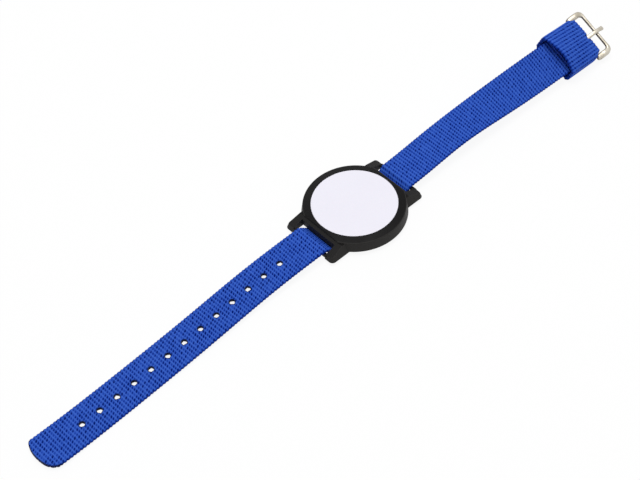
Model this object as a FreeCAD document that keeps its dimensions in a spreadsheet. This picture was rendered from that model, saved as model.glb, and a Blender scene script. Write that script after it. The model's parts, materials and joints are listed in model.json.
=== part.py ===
import FreeCAD, Part
import Sketcher
import math
import os
from FreeCAD import Placement, Rotation, Vector

# Transponder wristband built like a watch: a round moulded case on one woven strap with a tang buckle.
# Frame: origin under the centre of the case, on the surface the strap lies on. +Z is up, +X runs along
# the strap towards the buckle and -X towards the punched tail. All sizes are in millimetres.

doc = FreeCAD.newDocument("wristband")
sheet = doc.addObject("Spreadsheet::Sheet", "Sizes")

SIZES = {
    # woven strap
    "webbing_width": 14.4,
    "webbing_thickness": 1.2,
    "webbing_gap": 0.1,
    "tail_reach": 138.0,
    "tail_tip_radius": 14.0,
    "tail_corner_radius": 3.0,
    "hole_diameter": 1.9,
    "hole_pitch": 7.13,
    "hole_count": 13,
    "tip_to_hole": 17.75,
    "section_count": 9,
    # case
    "case_radius": 18.4,
    "rim_radius": 17.9,
    "case_height": 4.7,
    "rim_drop": 0.5,
    "rim_round": 0.45,
    "foot_chamfer": 0.4,
    # face
    "disc_radius": 15.0,
    "disc_thickness": 0.8,
    "disc_edge_gap": 0.08,
    "disc_sink": 0.08,
    "disc_edge_round": 0.12,
    "adhesive_thickness": 0.12,
    "adhesive_margin": 0.8,
    # inside of the case
    "web_thickness": 0.8,
    "cavity_radius": 14.2,
    "cover_thickness": 1.0,
    "cover_radius": 15.0,
    "cover_gap": 0.05,
    "cover_edge_chamfer": 0.25,
    "inside_gap": 0.05,
    "foam_thickness": 0.6,
    "foam_radius": 12.8,
    "carrier_radius": 13.4,
    "carrier_thickness": 0.3,
    "coil_outer_radius": 12.2,
    "coil_band": 1.6,
    "coil_height": 0.5,
    "chip_length": 5.0,
    "chip_width": 3.6,
    "chip_thickness": 0.25,
    "chip_offset": 5.4,
    "cap_radius": 1.3,
    "cap_height": 0.3,
    "lead_radius": 0.1,
    "lead_spacing": 2.2,
    # lugs
    "lug_half_width": 11.8,
    "lug_reach": 21.6,
    "lug_tip_radius": 1.6,
    "lug_draft": 20.0,
    "lug_root_radius": 16.2,
    "shelf_start": 15.8,
    "shelf_height": 3.65,
    "shelf_slope": 21.0,
    "slot_start": 16.95,
    "slot_side_gap": 0.85,
    "slot_edge_round": 0.8,
    "lug_edge_round": 0.2,
    "lug_bar_radius": 0.8,
    "lug_bar_bite": 0.3,
    # bends of the strap at the lugs
    "bend_freedom": 15.0,
    # buckle
    "bar_radius": 0.65,
    "bar_x": 115.4,
    "bar_y": -2.2,
    "buckle_yaw": -2.0,
    "buckle_pitch": 1.4,
    "buckle_roll": 25.0,
    "twist_start": 42.0,
    "flat_run": 18.5,
    "fold_length": 16.2,
    "fold_close": 5.0,
    "frame_side_gap": 0.45,
    "frame_arm_width": 2.2,
    "frame_reach": 6.0,
    "knuckle_radius": 1.0,
    "arm_radius": 1.25,
    "arm_middle": 2.5,
    "arm_rise": 0.45,
    "front_bar_radius": 0.64,
    "front_bar_rise": 0.85,
    "frame_corner_radius": 2.6,
    "window_corner_radius": 1.0,
    "front_relief_margin": 0.5,
    "tang_offset": -0.6,
    "tang_width": 1.5,
    "tang_thickness": 0.95,
    "tang_wall": 0.6,
    "tang_running_gap": 0.05,
    "tang_rest_gap": 0.06,
    "tang_overhang": 3.0,
    "tang_tip_drop": 0.9,
    "tang_slot_gap": 0.3,
    # keeper
    "keeper_length": 14.4,
    "keeper_end_gap": 1.4,
    "keeper_side_gap": 0.4,
    "keeper_mouth_rise": 3.0,
    "keeper_mouth_crown": 2.0,
    "keeper_end_rise": 0.5,
    "keeper_end_crown": 0.3,
    "keeper_corner": 1.6,
    "keeper_low_corner": 1.5,
    # thread
    "thread_radius": 0.16,
    "stitch_length": 1.5,
    "stitch_pitch": 2.1,
    "fold_stitches": 6,
    "keeper_stitches": 4,
    "seam_inset": 2.4,
}

for row, (name, value) in enumerate(SIZES.items(), start=1):
    sheet.set(f"A{row}", name)
    sheet.set(f"B{row}", str(value))
    sheet.setAlias(f"B{row}", name)
doc.recompute()


def size(name):
    """A driving size, read from the sheet."""
    return float(sheet.get(name))


webbing_width = size("webbing_width")
webbing_thickness = size("webbing_thickness")
half_thickness = webbing_thickness / 2
half_webbing = webbing_width / 2

# Heights in the case, from the surface that the strap lies on.
case_floor = webbing_thickness + size("webbing_gap")
case_top = case_floor + size("case_height")
recess_floor = case_top - size("disc_sink") - size("disc_thickness") - size("adhesive_thickness")
cavity_roof = recess_floor - size("web_thickness")
cover_top = case_floor + size("cover_thickness")
recess_radius = size("disc_radius") + size("disc_edge_gap")

# The moulded bar of each lug pair, which the webbing goes over.
bar_wrap = size("lug_bar_radius") + size("webbing_gap")
lug_bar_x = size("lug_reach") - size("lug_bar_radius")
lug_bar_z = case_floor + size("lug_bar_radius")
slot_half_width = half_webbing + size("slot_side_gap")
clear_height = 3 * size("case_height")


def plane(body, role):
    """The origin plane of a body that has this role."""
    for feature in body.Origin.OriginFeatures:
        if feature.Role == role:
            return feature
    raise ValueError("no origin plane " + role)


def new_body(label):
    body = doc.addObject("PartDesign::Body", label)
    body.Label = label
    return body


def new_sketch(body, name, role, height=0.0):
    """An empty sketch on an origin plane of the body, raised by height along the plane's normal."""
    sketch = body.newObject("Sketcher::SketchObject", name)
    sketch.AttachmentSupport = [(plane(body, role), "")]
    sketch.MapMode = "FlatFace"
    sketch.AttachmentOffset = Placement(Vector(0, 0, height), Rotation())
    return sketch


def add_circle(sketch, centre_x, centre_y, radius, expression):
    """A circle whose radius follows the sheet."""
    index = sketch.addGeometry(Part.Circle(Vector(centre_x, centre_y, 0), Vector(0, 0, 1), radius), False)
    constraint = sketch.addConstraint(Sketcher.Constraint("Radius", index, radius))
    sketch.setExpression(f"Constraints[{constraint}]", expression)
    return index


def add_chain(sketch, chain):
    """A closed outline. Each entry is a corner (x, y) or, between two corners, a point that an arc goes through,
    written as ("arc", x, y)."""
    start = chain[0]
    points = chain[1:] + [start]
    position = Vector(start[0], start[1], 0)
    middle = None
    for point in points:
        if point[0] == "arc":
            middle = Vector(point[1], point[2], 0)
            continue
        target = Vector(point[0], point[1], 0)
        if middle is None:
            sketch.addGeometry(Part.LineSegment(position, target), False)
        else:
            sketch.addGeometry(Part.Arc(position, middle, target), False)
        position = target
        middle = None


def pad(body, sketch, name, length, symmetric=False, taper=None):
    """Extrudes a sketch by a length that follows the sheet."""
    feature = body.newObject("PartDesign::Pad", name)
    feature.Profile = sketch
    feature.setExpression("Length", length)
    feature.Midplane = symmetric
    if taper is not None:
        feature.setExpression("TaperAngle", taper)
    doc.recompute()
    return feature


def pocket(body, sketch, name, length, symmetric=False, reverse=False):
    """Cuts a sketch out of the body, and makes sure that it cut something."""
    before = body.Shape.Volume
    feature = body.newObject("PartDesign::Pocket", name)
    feature.Profile = sketch
    feature.setExpression("Length", length)
    feature.Midplane = symmetric
    feature.Reversed = reverse
    doc.recompute()
    if body.Shape.Volume > before - 1e-4:
        raise ValueError(name + " cuts nothing")
    return feature


def solid_part(label, shape):
    """A sub-part whose shape is a strip of webbing or a thread that follows a path."""
    part = doc.addObject("Part::Feature", label)
    part.Label = label
    part.Shape = shape
    part.Placement = Placement()
    return part


def mirrored(chain):
    """The same outline on the other side of the sketch's vertical axis."""
    result = []
    for point in chain:
        if point[0] == "arc":
            result.append(("arc", -point[1], point[2]))
        else:
            result.append((-point[0], point[1]))
    return result


def arc_middle(centre_x, centre_y, radius, degrees):
    """The chain entry for an arc that passes this point of a circle."""
    angle = math.radians(degrees)
    return ("arc", centre_x + radius * math.cos(angle), centre_y + radius * math.sin(angle))


def lug_top_edges(shape):
    """Names of the outer edges round the sloping tops of the lugs, without the line where they meet the rim."""
    names = []
    tilt = math.radians(size("shelf_slope"))
    for face in shape.Faces:
        if not isinstance(face.Surface, Part.Plane):
            continue
        normal = face.normalAt(0, 0)
        if abs(abs(normal.x) - math.sin(tilt)) > 1e-3 or abs(normal.z - math.cos(tilt)) > 1e-3:
            continue
        for edge in face.Edges:
            ends = [vertex.Point for vertex in edge.Vertexes]
            if max(abs(end.x) for end in ends) < size("shelf_start") + 1e-3:
                continue
            if max(abs(end.y) for end in ends) < slot_half_width + 1e-3:
                continue
            for number, other in enumerate(shape.Edges, start=1):
                if edge.isSame(other):
                    names.append(f"Edge{number}")
    return names


# Case body: rim, recess for the face, cavity for the inlay, lugs and bars, moulded in one.
def make_case_body():
    body = new_body("case_body")
    profile = new_sketch(body, "round_profile", "XZ_Plane")
    rim = size("rim_radius")
    rim_round = size("rim_round")
    rim_edge = case_top - size("rim_drop")
    foot = size("foot_chamfer")
    add_chain(profile, [
        (size("cover_radius"), case_floor),
        (size("case_radius") - foot, case_floor),
        (size("case_radius"), case_floor + foot),
        (rim, rim_edge - rim_round),
        arc_middle(rim - rim_round, rim_edge - rim_round, rim_round, 45),
        (rim - rim_round, rim_edge),
        (recess_radius, case_top),
        (recess_radius, recess_floor),
        (0, recess_floor),
        (0, cavity_roof),
        (size("cavity_radius"), cavity_roof),
        (size("cavity_radius"), cover_top),
        (size("cover_radius"), cover_top),
    ])
    turned = body.newObject("PartDesign::Revolution", "round_case")
    turned.Profile = profile
    turned.ReferenceAxis = (profile, ["V_Axis"])
    turned.Angle = 360
    doc.recompute()

    # Lugs: a drafted block on each side, which starts inside the round wall.
    plan = new_sketch(body, "lug_plan", "XY_Plane", case_floor)
    width = size("lug_half_width")
    reach = size("lug_reach")
    tip = size("lug_tip_radius")
    root = size("lug_root_radius")
    root_x = math.sqrt(root ** 2 - width ** 2)
    lug = [
        (root_x, -width),
        (reach - tip, -width),
        arc_middle(reach - tip, -width + tip, tip, -45),
        (reach, -width + tip),
        (reach, width - tip),
        arc_middle(reach - tip, width - tip, tip, 45),
        (reach - tip, width),
        (root_x, width),
        ("arc", root, 0),
    ]
    add_chain(plan, lug)
    add_chain(plan, mirrored(lug))
    pad(body, plan, "lugs", "Sizes.shelf_height", taper="-Sizes.lug_draft")

    # Shelf: the lugs slope down outwards, and the rim is cut straight above them.
    side = new_sketch(body, "shelf_profile", "XZ_Plane")
    shelf_x = size("shelf_start")
    shelf_z = case_floor + size("shelf_height")
    beyond = reach + size("lug_bar_radius")
    fall = (beyond - shelf_x) * math.tan(math.radians(size("shelf_slope")))
    shelf = [
        (shelf_x, shelf_z),
        (beyond, shelf_z - fall),
        (beyond, clear_height),
        (shelf_x, clear_height),
    ]
    add_chain(side, shelf)
    add_chain(side, mirrored(shelf))
    pocket(body, side, "shelf", "4 * Sizes.lug_half_width", symmetric=True)

    # Slots for the webbing, with a round lower edge on the case's side.
    gap = new_sketch(body, "slot_profile", "XZ_Plane")
    slot_x = size("slot_start")
    edge = size("slot_edge_round")
    slot = [
        (slot_x, clear_height),
        (slot_x, case_floor + edge),
        arc_middle(slot_x - edge, case_floor + edge, edge, -45),
        (slot_x - edge, case_floor),
        (slot_x - edge, 0),
        (beyond, 0),
        (beyond, clear_height),
    ]
    add_chain(gap, slot)
    add_chain(gap, mirrored(slot))
    pocket(body, gap, "slots", "Sizes.webbing_width + 2 * Sizes.slot_side_gap", symmetric=True)

    bars = new_sketch(body, "bar_circles", "XZ_Plane")
    for direction in (-1, 1):
        add_circle(bars, direction * lug_bar_x, lug_bar_z, size("lug_bar_radius"), "Sizes.lug_bar_radius")
    pad(body, bars, "lug_bars", "Sizes.webbing_width + 2 * Sizes.slot_side_gap + 2 * Sizes.lug_bar_bite",
        symmetric=True)

    # Moulded edges: the outer edges of the lugs' tops.
    sharp = (body.Tip, lug_top_edges(body.Shape))
    rounding = body.newObject("PartDesign::Fillet", "lug_edges")
    rounding.Base = sharp
    rounding.setExpression("Radius", "Sizes.lug_edge_round")
    doc.recompute()
    return body


def make_disc(label, radius, thickness, height, outline=None):
    """A round flat piece on the case's axis: radius and thickness are expressions, height is its underside."""
    body = new_body(label)
    sketch = new_sketch(body, label + "_outline", "XY_Plane", height)
    if outline is None:
        add_circle(sketch, 0, 0, 1.0, radius)
    else:
        outline(sketch)
    pad(body, sketch, label + "_pad", thickness)
    return body


def edges_at(shape, height, radius):
    """Names of the round edges of a solid at this height with this radius."""
    names = []
    for number, edge in enumerate(shape.Edges, start=1):
        curve = edge.Curve
        if not isinstance(curve, Part.Circle):
            continue
        if abs(curve.Radius - radius) < 1e-3 and abs(edge.BoundBox.ZMin - height) < 1e-3:
            names.append(f"Edge{number}")
    return names


def make_face():
    face = make_disc("face_disc", "Sizes.disc_radius", "Sizes.disc_thickness",
                     recess_floor + size("adhesive_thickness"))
    top = recess_floor + size("adhesive_thickness") + size("disc_thickness")
    sharp = (face.Tip, edges_at(face.Shape, top, size("disc_radius")))
    rounding = face.newObject("PartDesign::Fillet", "face_edge")
    rounding.Base = sharp
    rounding.setExpression("Radius", "Sizes.disc_edge_round")
    doc.recompute()
    adhesive = make_disc("face_adhesive", "Sizes.disc_radius - Sizes.adhesive_margin",
                         "Sizes.adhesive_thickness", recess_floor)
    return [face, adhesive]


def make_back_cover():
    cover = make_disc("back_cover", "Sizes.cover_radius - Sizes.cover_gap",
                      "Sizes.cover_thickness - Sizes.inside_gap", case_floor)
    sharp = (cover.Tip, edges_at(cover.Shape, case_floor, size("cover_radius") - size("cover_gap")))
    bevel = cover.newObject("PartDesign::Chamfer", "cover_edge")
    bevel.Base = sharp
    bevel.setExpression("Size", "Sizes.cover_edge_chamfer")
    doc.recompute()
    return [cover]


# Inlay, from the roof of the cavity down: foam pad, carrier with the coil and the chip hanging under it.
foam_floor = cavity_roof - size("foam_thickness")
carrier_floor = foam_floor - size("carrier_thickness")
chip_floor = carrier_floor - size("chip_thickness")
coil_inner_radius = size("coil_outer_radius") - size("coil_band")


def make_inlay():
    foam = make_disc("foam_pad", "Sizes.foam_radius", "Sizes.foam_thickness", foam_floor)
    carrier = make_disc("transponder_carrier", "Sizes.carrier_radius", "Sizes.carrier_thickness", carrier_floor)

    def ring(sketch):
        add_circle(sketch, 0, 0, size("coil_outer_radius"), "Sizes.coil_outer_radius")
        add_circle(sketch, 0, 0, coil_inner_radius, "Sizes.coil_outer_radius - Sizes.coil_band")

    coil = make_disc("antenna_coil", "", "Sizes.coil_height", carrier_floor - size("coil_height"), ring)

    def rectangle(sketch):
        half_length = size("chip_length") / 2
        half_width = size("chip_width") / 2
        offset = size("chip_offset")
        add_chain(sketch, [
            (offset - half_length, -half_width),
            (offset + half_length, -half_width),
            (offset + half_length, half_width),
            (offset - half_length, half_width),
        ])

    chip = make_disc("chip_module", "", "Sizes.chip_thickness", chip_floor, rectangle)

    def drop(sketch):
        add_circle(sketch, size("chip_offset"), 0, size("cap_radius"), "Sizes.cap_radius")

    cap = make_disc("chip_cap", "", "Sizes.cap_height", chip_floor - size("cap_height"), drop)

    # Each lead lies under the carrier, from the coil's inner side to the end of the module.
    leads = []
    start_x = size("chip_offset") + size("chip_length") / 2
    for side in (-1, 1):
        lead_y = side * size("lead_spacing") / 2
        outer_y = abs(lead_y) + size("lead_radius")
        end_x = math.sqrt(coil_inner_radius ** 2 - outer_y ** 2)
        base = Vector(start_x, lead_y, carrier_floor - size("lead_radius"))
        leads.append(Part.makeCylinder(size("lead_radius"), end_x - start_x, base, Vector(1, 0, 0)))
    wires = solid_part("coil_leads", Part.makeCompound(leads))
    return [foam, carrier, coil, chip, cap, wires]


# Webbing. A strip is a rectangle of the webbing's width and thickness that follows its middle line.
def cross_section(point, along, roll):
    """The webbing's rectangle at a point of its middle line, and the directions across it and out of its top."""
    along = Vector(along).normalize()
    level = Vector(0, 0, 1).cross(along).normalize()
    upright = along.cross(level)
    turn = math.radians(roll)
    across = level * math.cos(turn) + upright * math.sin(turn)
    normal = along.cross(across)
    corners = [
        point + across * half_webbing + normal * half_thickness,
        point - across * half_webbing + normal * half_thickness,
        point - across * half_webbing - normal * half_thickness,
        point + across * half_webbing - normal * half_thickness,
    ]
    return Part.makePolygon(corners + [corners[0]]), across, normal


def strip_along(edges):
    """A strip of webbing along a planar path of lines and arcs, upright on the path's plane."""
    path = Part.Wire(edges)
    first = path.OrderedEdges[0]
    start = first.valueAt(first.FirstParameter)
    tangent = first.tangentAt(first.FirstParameter)
    if first.Orientation == "Reversed":
        start = first.valueAt(first.LastParameter)
        tangent = first.tangentAt(first.LastParameter) * -1
    section = cross_section(start, tangent, 0)[0]
    return path.makePipeShell([section], True, False)


def point_on(centre, radius, degrees):
    """A point of a circle in the upright plane along the strap; 0 degrees is +X and 90 is up."""
    angle = math.radians(degrees)
    return Vector(centre.x + radius * math.cos(angle), centre.y, centre.z + radius * math.sin(angle))


def arc_edge(centre, radius, start, end):
    """An arc in the upright plane along the strap, from start to end in degrees."""
    middle = (start + end) / 2
    points = [point_on(centre, radius, degrees) for degrees in (start, middle, end)]
    return Part.Arc(*points).toShape()


# The webbing bends up round the case's lower edge and then goes over the lug bar. The straight stretch between
# touches both circles and crosses the line between their centres.
wrap_radius = bar_wrap + half_thickness
bend_radius = size("slot_edge_round") + size("webbing_gap") + half_thickness
bend_centre = Vector(size("slot_start") - size("slot_edge_round"), 0, case_floor + size("slot_edge_round"))
bar_centre = Vector(lug_bar_x, 0, lug_bar_z)
centre_line = bar_centre - bend_centre
climb_angle = math.degrees(math.asin((wrap_radius + bend_radius) / centre_line.Length))
climb_angle += math.degrees(math.atan2(centre_line.z, centre_line.x))

# Share of the free turn of the webbing at a lug bar by which the stretch under the case stops short of it.
CUT_BACK_SHARE = 0.1


def make_strap_centre():
    """The stretch under the case, up to just short of the webbing that turns on each lug bar."""
    cut_back = math.radians(size("bend_freedom")) * wrap_radius * CUT_BACK_SHARE
    low = point_on(bend_centre, bend_radius, climb_angle - 90)
    high = point_on(bar_centre, wrap_radius, climb_angle + 90)
    high = high - (high - low).normalize() * cut_back
    right = [
        arc_edge(bend_centre, bend_radius, -90, climb_angle - 90),
        Part.LineSegment(low, high).toShape(),
    ]
    flip = FreeCAD.Matrix()
    flip.A11 = -1
    left = [edge.transformGeometry(flip) for edge in right]
    foot = Vector(bend_centre.x, 0, half_thickness)
    flat = Part.LineSegment(Vector(-foot.x, 0, foot.z), foot).toShape()
    halves = []
    for edges in (right, left):
        halves.append(strip_along(Part.sortEdges(edges)[0]))
    middle = strip_along([flat])
    return solid_part("strap_centre", middle.multiFuse(halves).removeSplitter())


def course(points, start_tangent, end_tangent):
    """A smooth middle line through points, as a curve."""
    curve = Part.BSplineCurve()
    curve.interpolate(Points=points, InitialTangent=start_tangent, FinalTangent=end_tangent)
    return curve


def run_of_webbing(curve, roll_at):
    """A lofted strip along a curve. roll_at gives the turn about the curve at each x."""
    sections = int(size("section_count"))
    first, last = curve.FirstParameter, curve.LastParameter
    wires = []
    for step in range(sections):
        length = curve.length(first, last) * step / (sections - 1)
        parameter = curve.parameterAtDistance(length, first) if step else first
        point = curve.value(parameter)
        along = curve.tangent(parameter)[0]
        if along.x < 0:
            along = along * -1
        wires.append(cross_section(point, along, roll_at(point.x))[0])
    return Part.makeLoft(wires, True, False)


def bar_turn(direction):
    """The webbing that turns with a strap half about its lug bar, up to the top of the bar."""
    start = 90 + climb_angle - size("bend_freedom")
    edge = arc_edge(bar_centre, wrap_radius, start, 90)
    turn = strip_along([edge])
    if direction < 0:
        turn = turn.mirror(Vector(0, 0, 0), Vector(1, 0, 0))
    return turn


# Tail: it comes down off the lug bar, lies on the surface before its end and lifts a little at the tip.
# Each point: how far out and how far aside it is, as shares of the tail's reach, and the height of the webbing's
# middle in thicknesses of the webbing. The last point is the tip.
TAIL_COURSE = [
    (0.326, -0.0029, 2.125),
    (0.507, -0.01014, 1.208),
    (0.688, -0.01739, 0.65),
    (0.812, -0.0221, 0.533),
    (0.906, -0.02609, 0.792),
    (1.0, -0.02971, 1.458),
]
TAIL_TIP_HEADING = Vector(-1, -0.04, 0.08)


def tail_course():
    points = [Vector(-lug_bar_x, 0, lug_bar_z + wrap_radius)]
    reach = size("tail_reach")
    for out, aside, height in TAIL_COURSE:
        points.append(Vector(-out * reach, aside * reach, height * webbing_thickness))
    return course(points, Vector(-1, 0, 0), TAIL_TIP_HEADING)


def tip_outline():
    """The plan of the tail's end: a shallow arc with a round corner on each side, tip at the origin, body to +X."""
    radius = size("tail_tip_radius")
    corner = size("tail_corner_radius")
    corner_y = half_webbing - corner
    corner_x = radius - math.sqrt((radius - corner) ** 2 - corner_y ** 2)
    outward = Vector(corner_x - radius, corner_y, 0).normalize()
    touch = Vector(radius, 0, 0) + outward * radius
    turn = (outward + Vector(0, 1, 0)).normalize()
    middle = Vector(corner_x, corner_y, 0) + turn * corner
    wide = half_webbing
    back = corner_x + 2 * webbing_width
    upper = Part.Arc(touch, middle, Vector(corner_x, wide, 0)).toShape()
    lower = Part.Arc(Vector(touch.x, -touch.y, 0), Vector(middle.x, -middle.y, 0), Vector(corner_x, -wide, 0)).toShape()
    end = Part.Arc(touch, Vector(0, 0, 0), Vector(touch.x, -touch.y, 0)).toShape()
    margin = webbing_width
    sides = Part.makePolygon([
        Vector(corner_x, wide, 0), Vector(corner_x, margin, 0), Vector(back, margin, 0),
        Vector(back, -margin, 0), Vector(corner_x, -margin, 0), Vector(corner_x, -wide, 0),
    ])
    outline = Part.Wire(Part.sortEdges([upper, lower, end] + sides.Edges)[0])
    return Part.Face(outline)


def make_strap_tail():
    curve = tail_course()
    strip = run_of_webbing(curve, lambda x: 0.0)
    first, last = curve.FirstParameter, curve.LastParameter
    total = curve.length(first, last)

    # Round tip: only what lies inside the tip's outline stays of the last stretch.
    tip = curve.value(last)
    along = curve.tangent(last)[0] * -1
    section, across, normal = cross_section(tip, along, 0)
    block = Part.makeBox(2 * webbing_width, 3 * webbing_width, webbing_width)
    block.translate(Vector(-webbing_width, -1.5 * webbing_width, -webbing_width / 2))
    keep = tip_outline().extrude(Vector(0, 0, webbing_width))
    keep.translate(Vector(0, 0, -webbing_width / 2))
    waste = block.cut(keep)
    frame = FreeCAD.Matrix(along.x, across.x, normal.x, tip.x, along.y, across.y, normal.y, tip.y,
                           along.z, across.z, normal.z, tip.z, 0, 0, 0, 1)
    waste.transformShape(frame)
    strip = strip.cut(waste)

    # Adjusting holes, counted from the tip.
    for number in range(int(size("hole_count"))):
        distance = total - size("tip_to_hole") - number * size("hole_pitch")
        parameter = curve.parameterAtDistance(distance, first)
        point = curve.value(parameter)
        along = curve.tangent(parameter)[0] * -1
        section, across, normal = cross_section(point, along, 0)
        drill = Part.makeCylinder(size("hole_diameter") / 2, 2 * webbing_thickness,
                                  point - normal * webbing_thickness, normal)
        strip = strip.cut(drill)
    return solid_part("strap_tail", strip.fuse(bar_turn(-1)).removeSplitter())


# Buckle end. Its pieces are drawn in a frame of their own: X along the strap, Y across it, Z out of its top, with
# the origin on the axis of the buckle's bar. This frame is then turned and set down, so that the lowest corner of
# the keeper touches the surface.
fold_inner = size("bar_radius") + size("webbing_gap")
fold_middle = fold_inner + half_thickness
fold_outer = fold_inner + webbing_thickness
keeper_half_inner = half_webbing + size("keeper_side_gap")
keeper_half_outer = keeper_half_inner + webbing_thickness
keeper_end = -size("keeper_end_gap")
keeper_mouth = keeper_end - size("keeper_length")
keeper_floor = -fold_outer - size("webbing_gap")

# The lowest point of the keeper is on the round corner of its lower side; it touches the surface.
turn = Rotation(size("buckle_yaw"), -size("buckle_pitch"), 0)
turn = turn.multiply(Rotation(Vector(1, 0, 0), size("buckle_roll")))
low_round = size("keeper_low_corner")
low_centre = Vector(keeper_end, low_round - keeper_half_outer, keeper_floor - webbing_thickness + low_round)
high_end_centre = Vector(keeper_mouth, low_centre.y, low_centre.z)
level_share = math.sqrt(1 - turn.multVec(Vector(1, 0, 0)).z ** 2)
lowest = min(turn.multVec(low_centre).z, turn.multVec(high_end_centre).z) - low_round * level_share
buckle_base = Vector(size("bar_x"), size("bar_y"), -lowest)
buckle_place = Placement(buckle_base, turn)


def to_buckle(point):
    return buckle_place.multVec(point)


# Each point: how far out and aside it is, as shares of the way to the buckle's bar, and its height in thicknesses.
BUCKLE_COURSE = [(0.390, 0.00087, 4.5), (0.607, -0.00693, 5.25)]
BUCKLE_START_HEADING = Vector(1, 0, 0.03)


def buckle_course():
    """Middle line of the webbing from the lug bar to the flat run at the buckle."""
    flat_start = to_buckle(Vector(-size("flat_run"), 0, fold_middle))
    flat_along = turn.multVec(Vector(1, 0, 0))
    points = [Vector(lug_bar_x, 0, lug_bar_z + wrap_radius)]
    reach = size("bar_x")
    for out, aside, height in BUCKLE_COURSE:
        points.append(Vector(out * reach, aside * reach, height * webbing_thickness))
    points.append(flat_start)
    return course(points, BUCKLE_START_HEADING, flat_along)


def buckle_roll_at(x):
    """The twist grows evenly from where it starts to the flat run, with a soft start and end."""
    flat_start = to_buckle(Vector(-size("flat_run"), 0, fold_middle))
    share = (x - size("twist_start")) / (flat_start.x - size("twist_start"))
    share = min(1.0, max(0.0, share))
    return size("buckle_roll") * share * share * (3 - 2 * share)


def make_strap_buckle_end():
    strip = run_of_webbing(buckle_course(), buckle_roll_at)
    origin = Vector(0, 0, 0)
    start = Vector(-size("flat_run"), 0, fold_middle)
    crown = Vector(0, 0, fold_middle)
    under = Vector(0, 0, -fold_middle)
    return_start = Vector(keeper_end / 2, 0, -fold_middle)
    rise = 2 * fold_middle - webbing_thickness - size("webbing_gap")
    run = size("fold_close")
    closed = Vector(return_start.x - run, 0, return_start.z + rise)
    halfway = (return_start + closed) * 0.5
    sweep = (run ** 2 + rise ** 2) / (4 * rise)
    bend = math.degrees(math.asin(run / 2 / sweep))
    low_centre = return_start + Vector(0, 0, sweep)
    high_centre = closed - Vector(0, 0, sweep)
    low_arc = Part.Arc(return_start, point_on(low_centre, sweep, -90 - bend / 2), halfway).toShape()
    high_arc = Part.Arc(halfway, point_on(high_centre, sweep, 90 - bend / 2), closed).toShape()
    path = [
        Part.LineSegment(start, crown).toShape(),
        Part.Arc(crown, point_on(origin, fold_middle, 0), under).toShape(),
        Part.LineSegment(under, return_start).toShape(),
        low_arc,
        high_arc,
        Part.LineSegment(closed, Vector(-size("fold_length"), 0, closed.z)).toShape(),
    ]
    fold = strip_along(path)
    slot_width = size("tang_width") + 2 * size("tang_slot_gap")
    slot_back = size("bar_radius") + size("tang_running_gap") + size("tang_wall") + size("tang_slot_gap")
    slot = Part.makeBox(slot_back + 2 * fold_outer, slot_width, 4 * fold_outer)
    slot.translate(Vector(-slot_back, size("tang_offset") - slot_width / 2, -2 * fold_outer))
    fold = fold.cut(slot)
    fold.transformShape(buckle_place.toMatrix())
    whole = strip.multiFuse([fold, bar_turn(1)]).removeSplitter()
    return solid_part("strap_buckle_end", whole)


def keeper_outline(x, half_width, floor, shoulder, crown, corner, low_corner):
    """The keeper's outline across the strap at x: flat below, round corners, arched on top."""
    diagonal = math.sqrt(0.5)
    low_left = Vector(x, -half_width + low_corner, floor)
    low_right = Vector(x, half_width - low_corner, floor)
    right_low = Vector(x, half_width, floor + low_corner)
    right_high = Vector(x, half_width, shoulder - corner)
    high_right = Vector(x, half_width - corner, shoulder)
    high_left = Vector(x, -half_width + corner, shoulder)
    left_high = Vector(x, -half_width, shoulder - corner)
    left_low = Vector(x, -half_width, floor + low_corner)
    reach_low = half_width - low_corner + low_corner * diagonal
    reach_high = half_width - corner + corner * diagonal
    dip = floor + low_corner - low_corner * diagonal
    peak = shoulder - corner + corner * diagonal
    edges = [
        Part.LineSegment(low_left, low_right),
        Part.Arc(low_right, Vector(x, reach_low, dip), right_low),
        Part.LineSegment(right_low, right_high),
        Part.Arc(right_high, Vector(x, reach_high, peak), high_right),
        Part.Arc(high_right, Vector(x, 0, shoulder + crown), high_left),
        Part.Arc(high_left, Vector(x, -reach_high, peak), left_high),
        Part.LineSegment(left_high, left_low),
        Part.Arc(left_low, Vector(x, -reach_low, dip), low_left),
    ]
    return Part.Wire([edge.toShape() for edge in edges])


def make_keeper():
    thickness = webbing_thickness
    shells = []
    for half_width, extra in ((keeper_half_outer, thickness), (keeper_half_inner, 0.0)):
        corner = size("keeper_corner") - thickness + extra
        low_corner = size("keeper_low_corner") - thickness + extra
        outlines = []
        for x, rise, crown in (
            (keeper_mouth, size("keeper_mouth_rise"), size("keeper_mouth_crown")),
            (keeper_end, size("keeper_end_rise"), size("keeper_end_crown")),
        ):
            shoulder = fold_outer + rise - crown + extra
            outlines.append(keeper_outline(x, half_width, keeper_floor - extra, shoulder, crown, corner, low_corner))
        shells.append(Part.makeLoft(outlines, True, True))
    keeper = solid_part("keeper", shells[0].cut(shells[1]))
    keeper.Placement = buckle_place
    return keeper


def tangent_points(first, second, side):
    """Where the line that touches two circles meets them. A circle is (x, y, radius); side is 1 for above."""
    across = second[0] - first[0]
    up = second[1] - first[1]
    along = math.atan2(up, across)
    spread = math.asin((second[2] - first[2]) / math.hypot(across, up))
    angle = along + side * (math.pi / 2 + spread)
    return [(x + r * math.cos(angle), y + r * math.sin(angle)) for x, y, r in (first, second)]


def between(circle, first, second):
    """The chain entry for the arc of a circle (x, y, radius) between two of its points, the short way round."""
    across = first[0] + second[0] - 2 * circle[0]
    up = first[1] + second[1] - 2 * circle[1]
    share = circle[2] / math.hypot(across, up)
    return ("arc", circle[0] + across * share, circle[1] + up * share)


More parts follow.
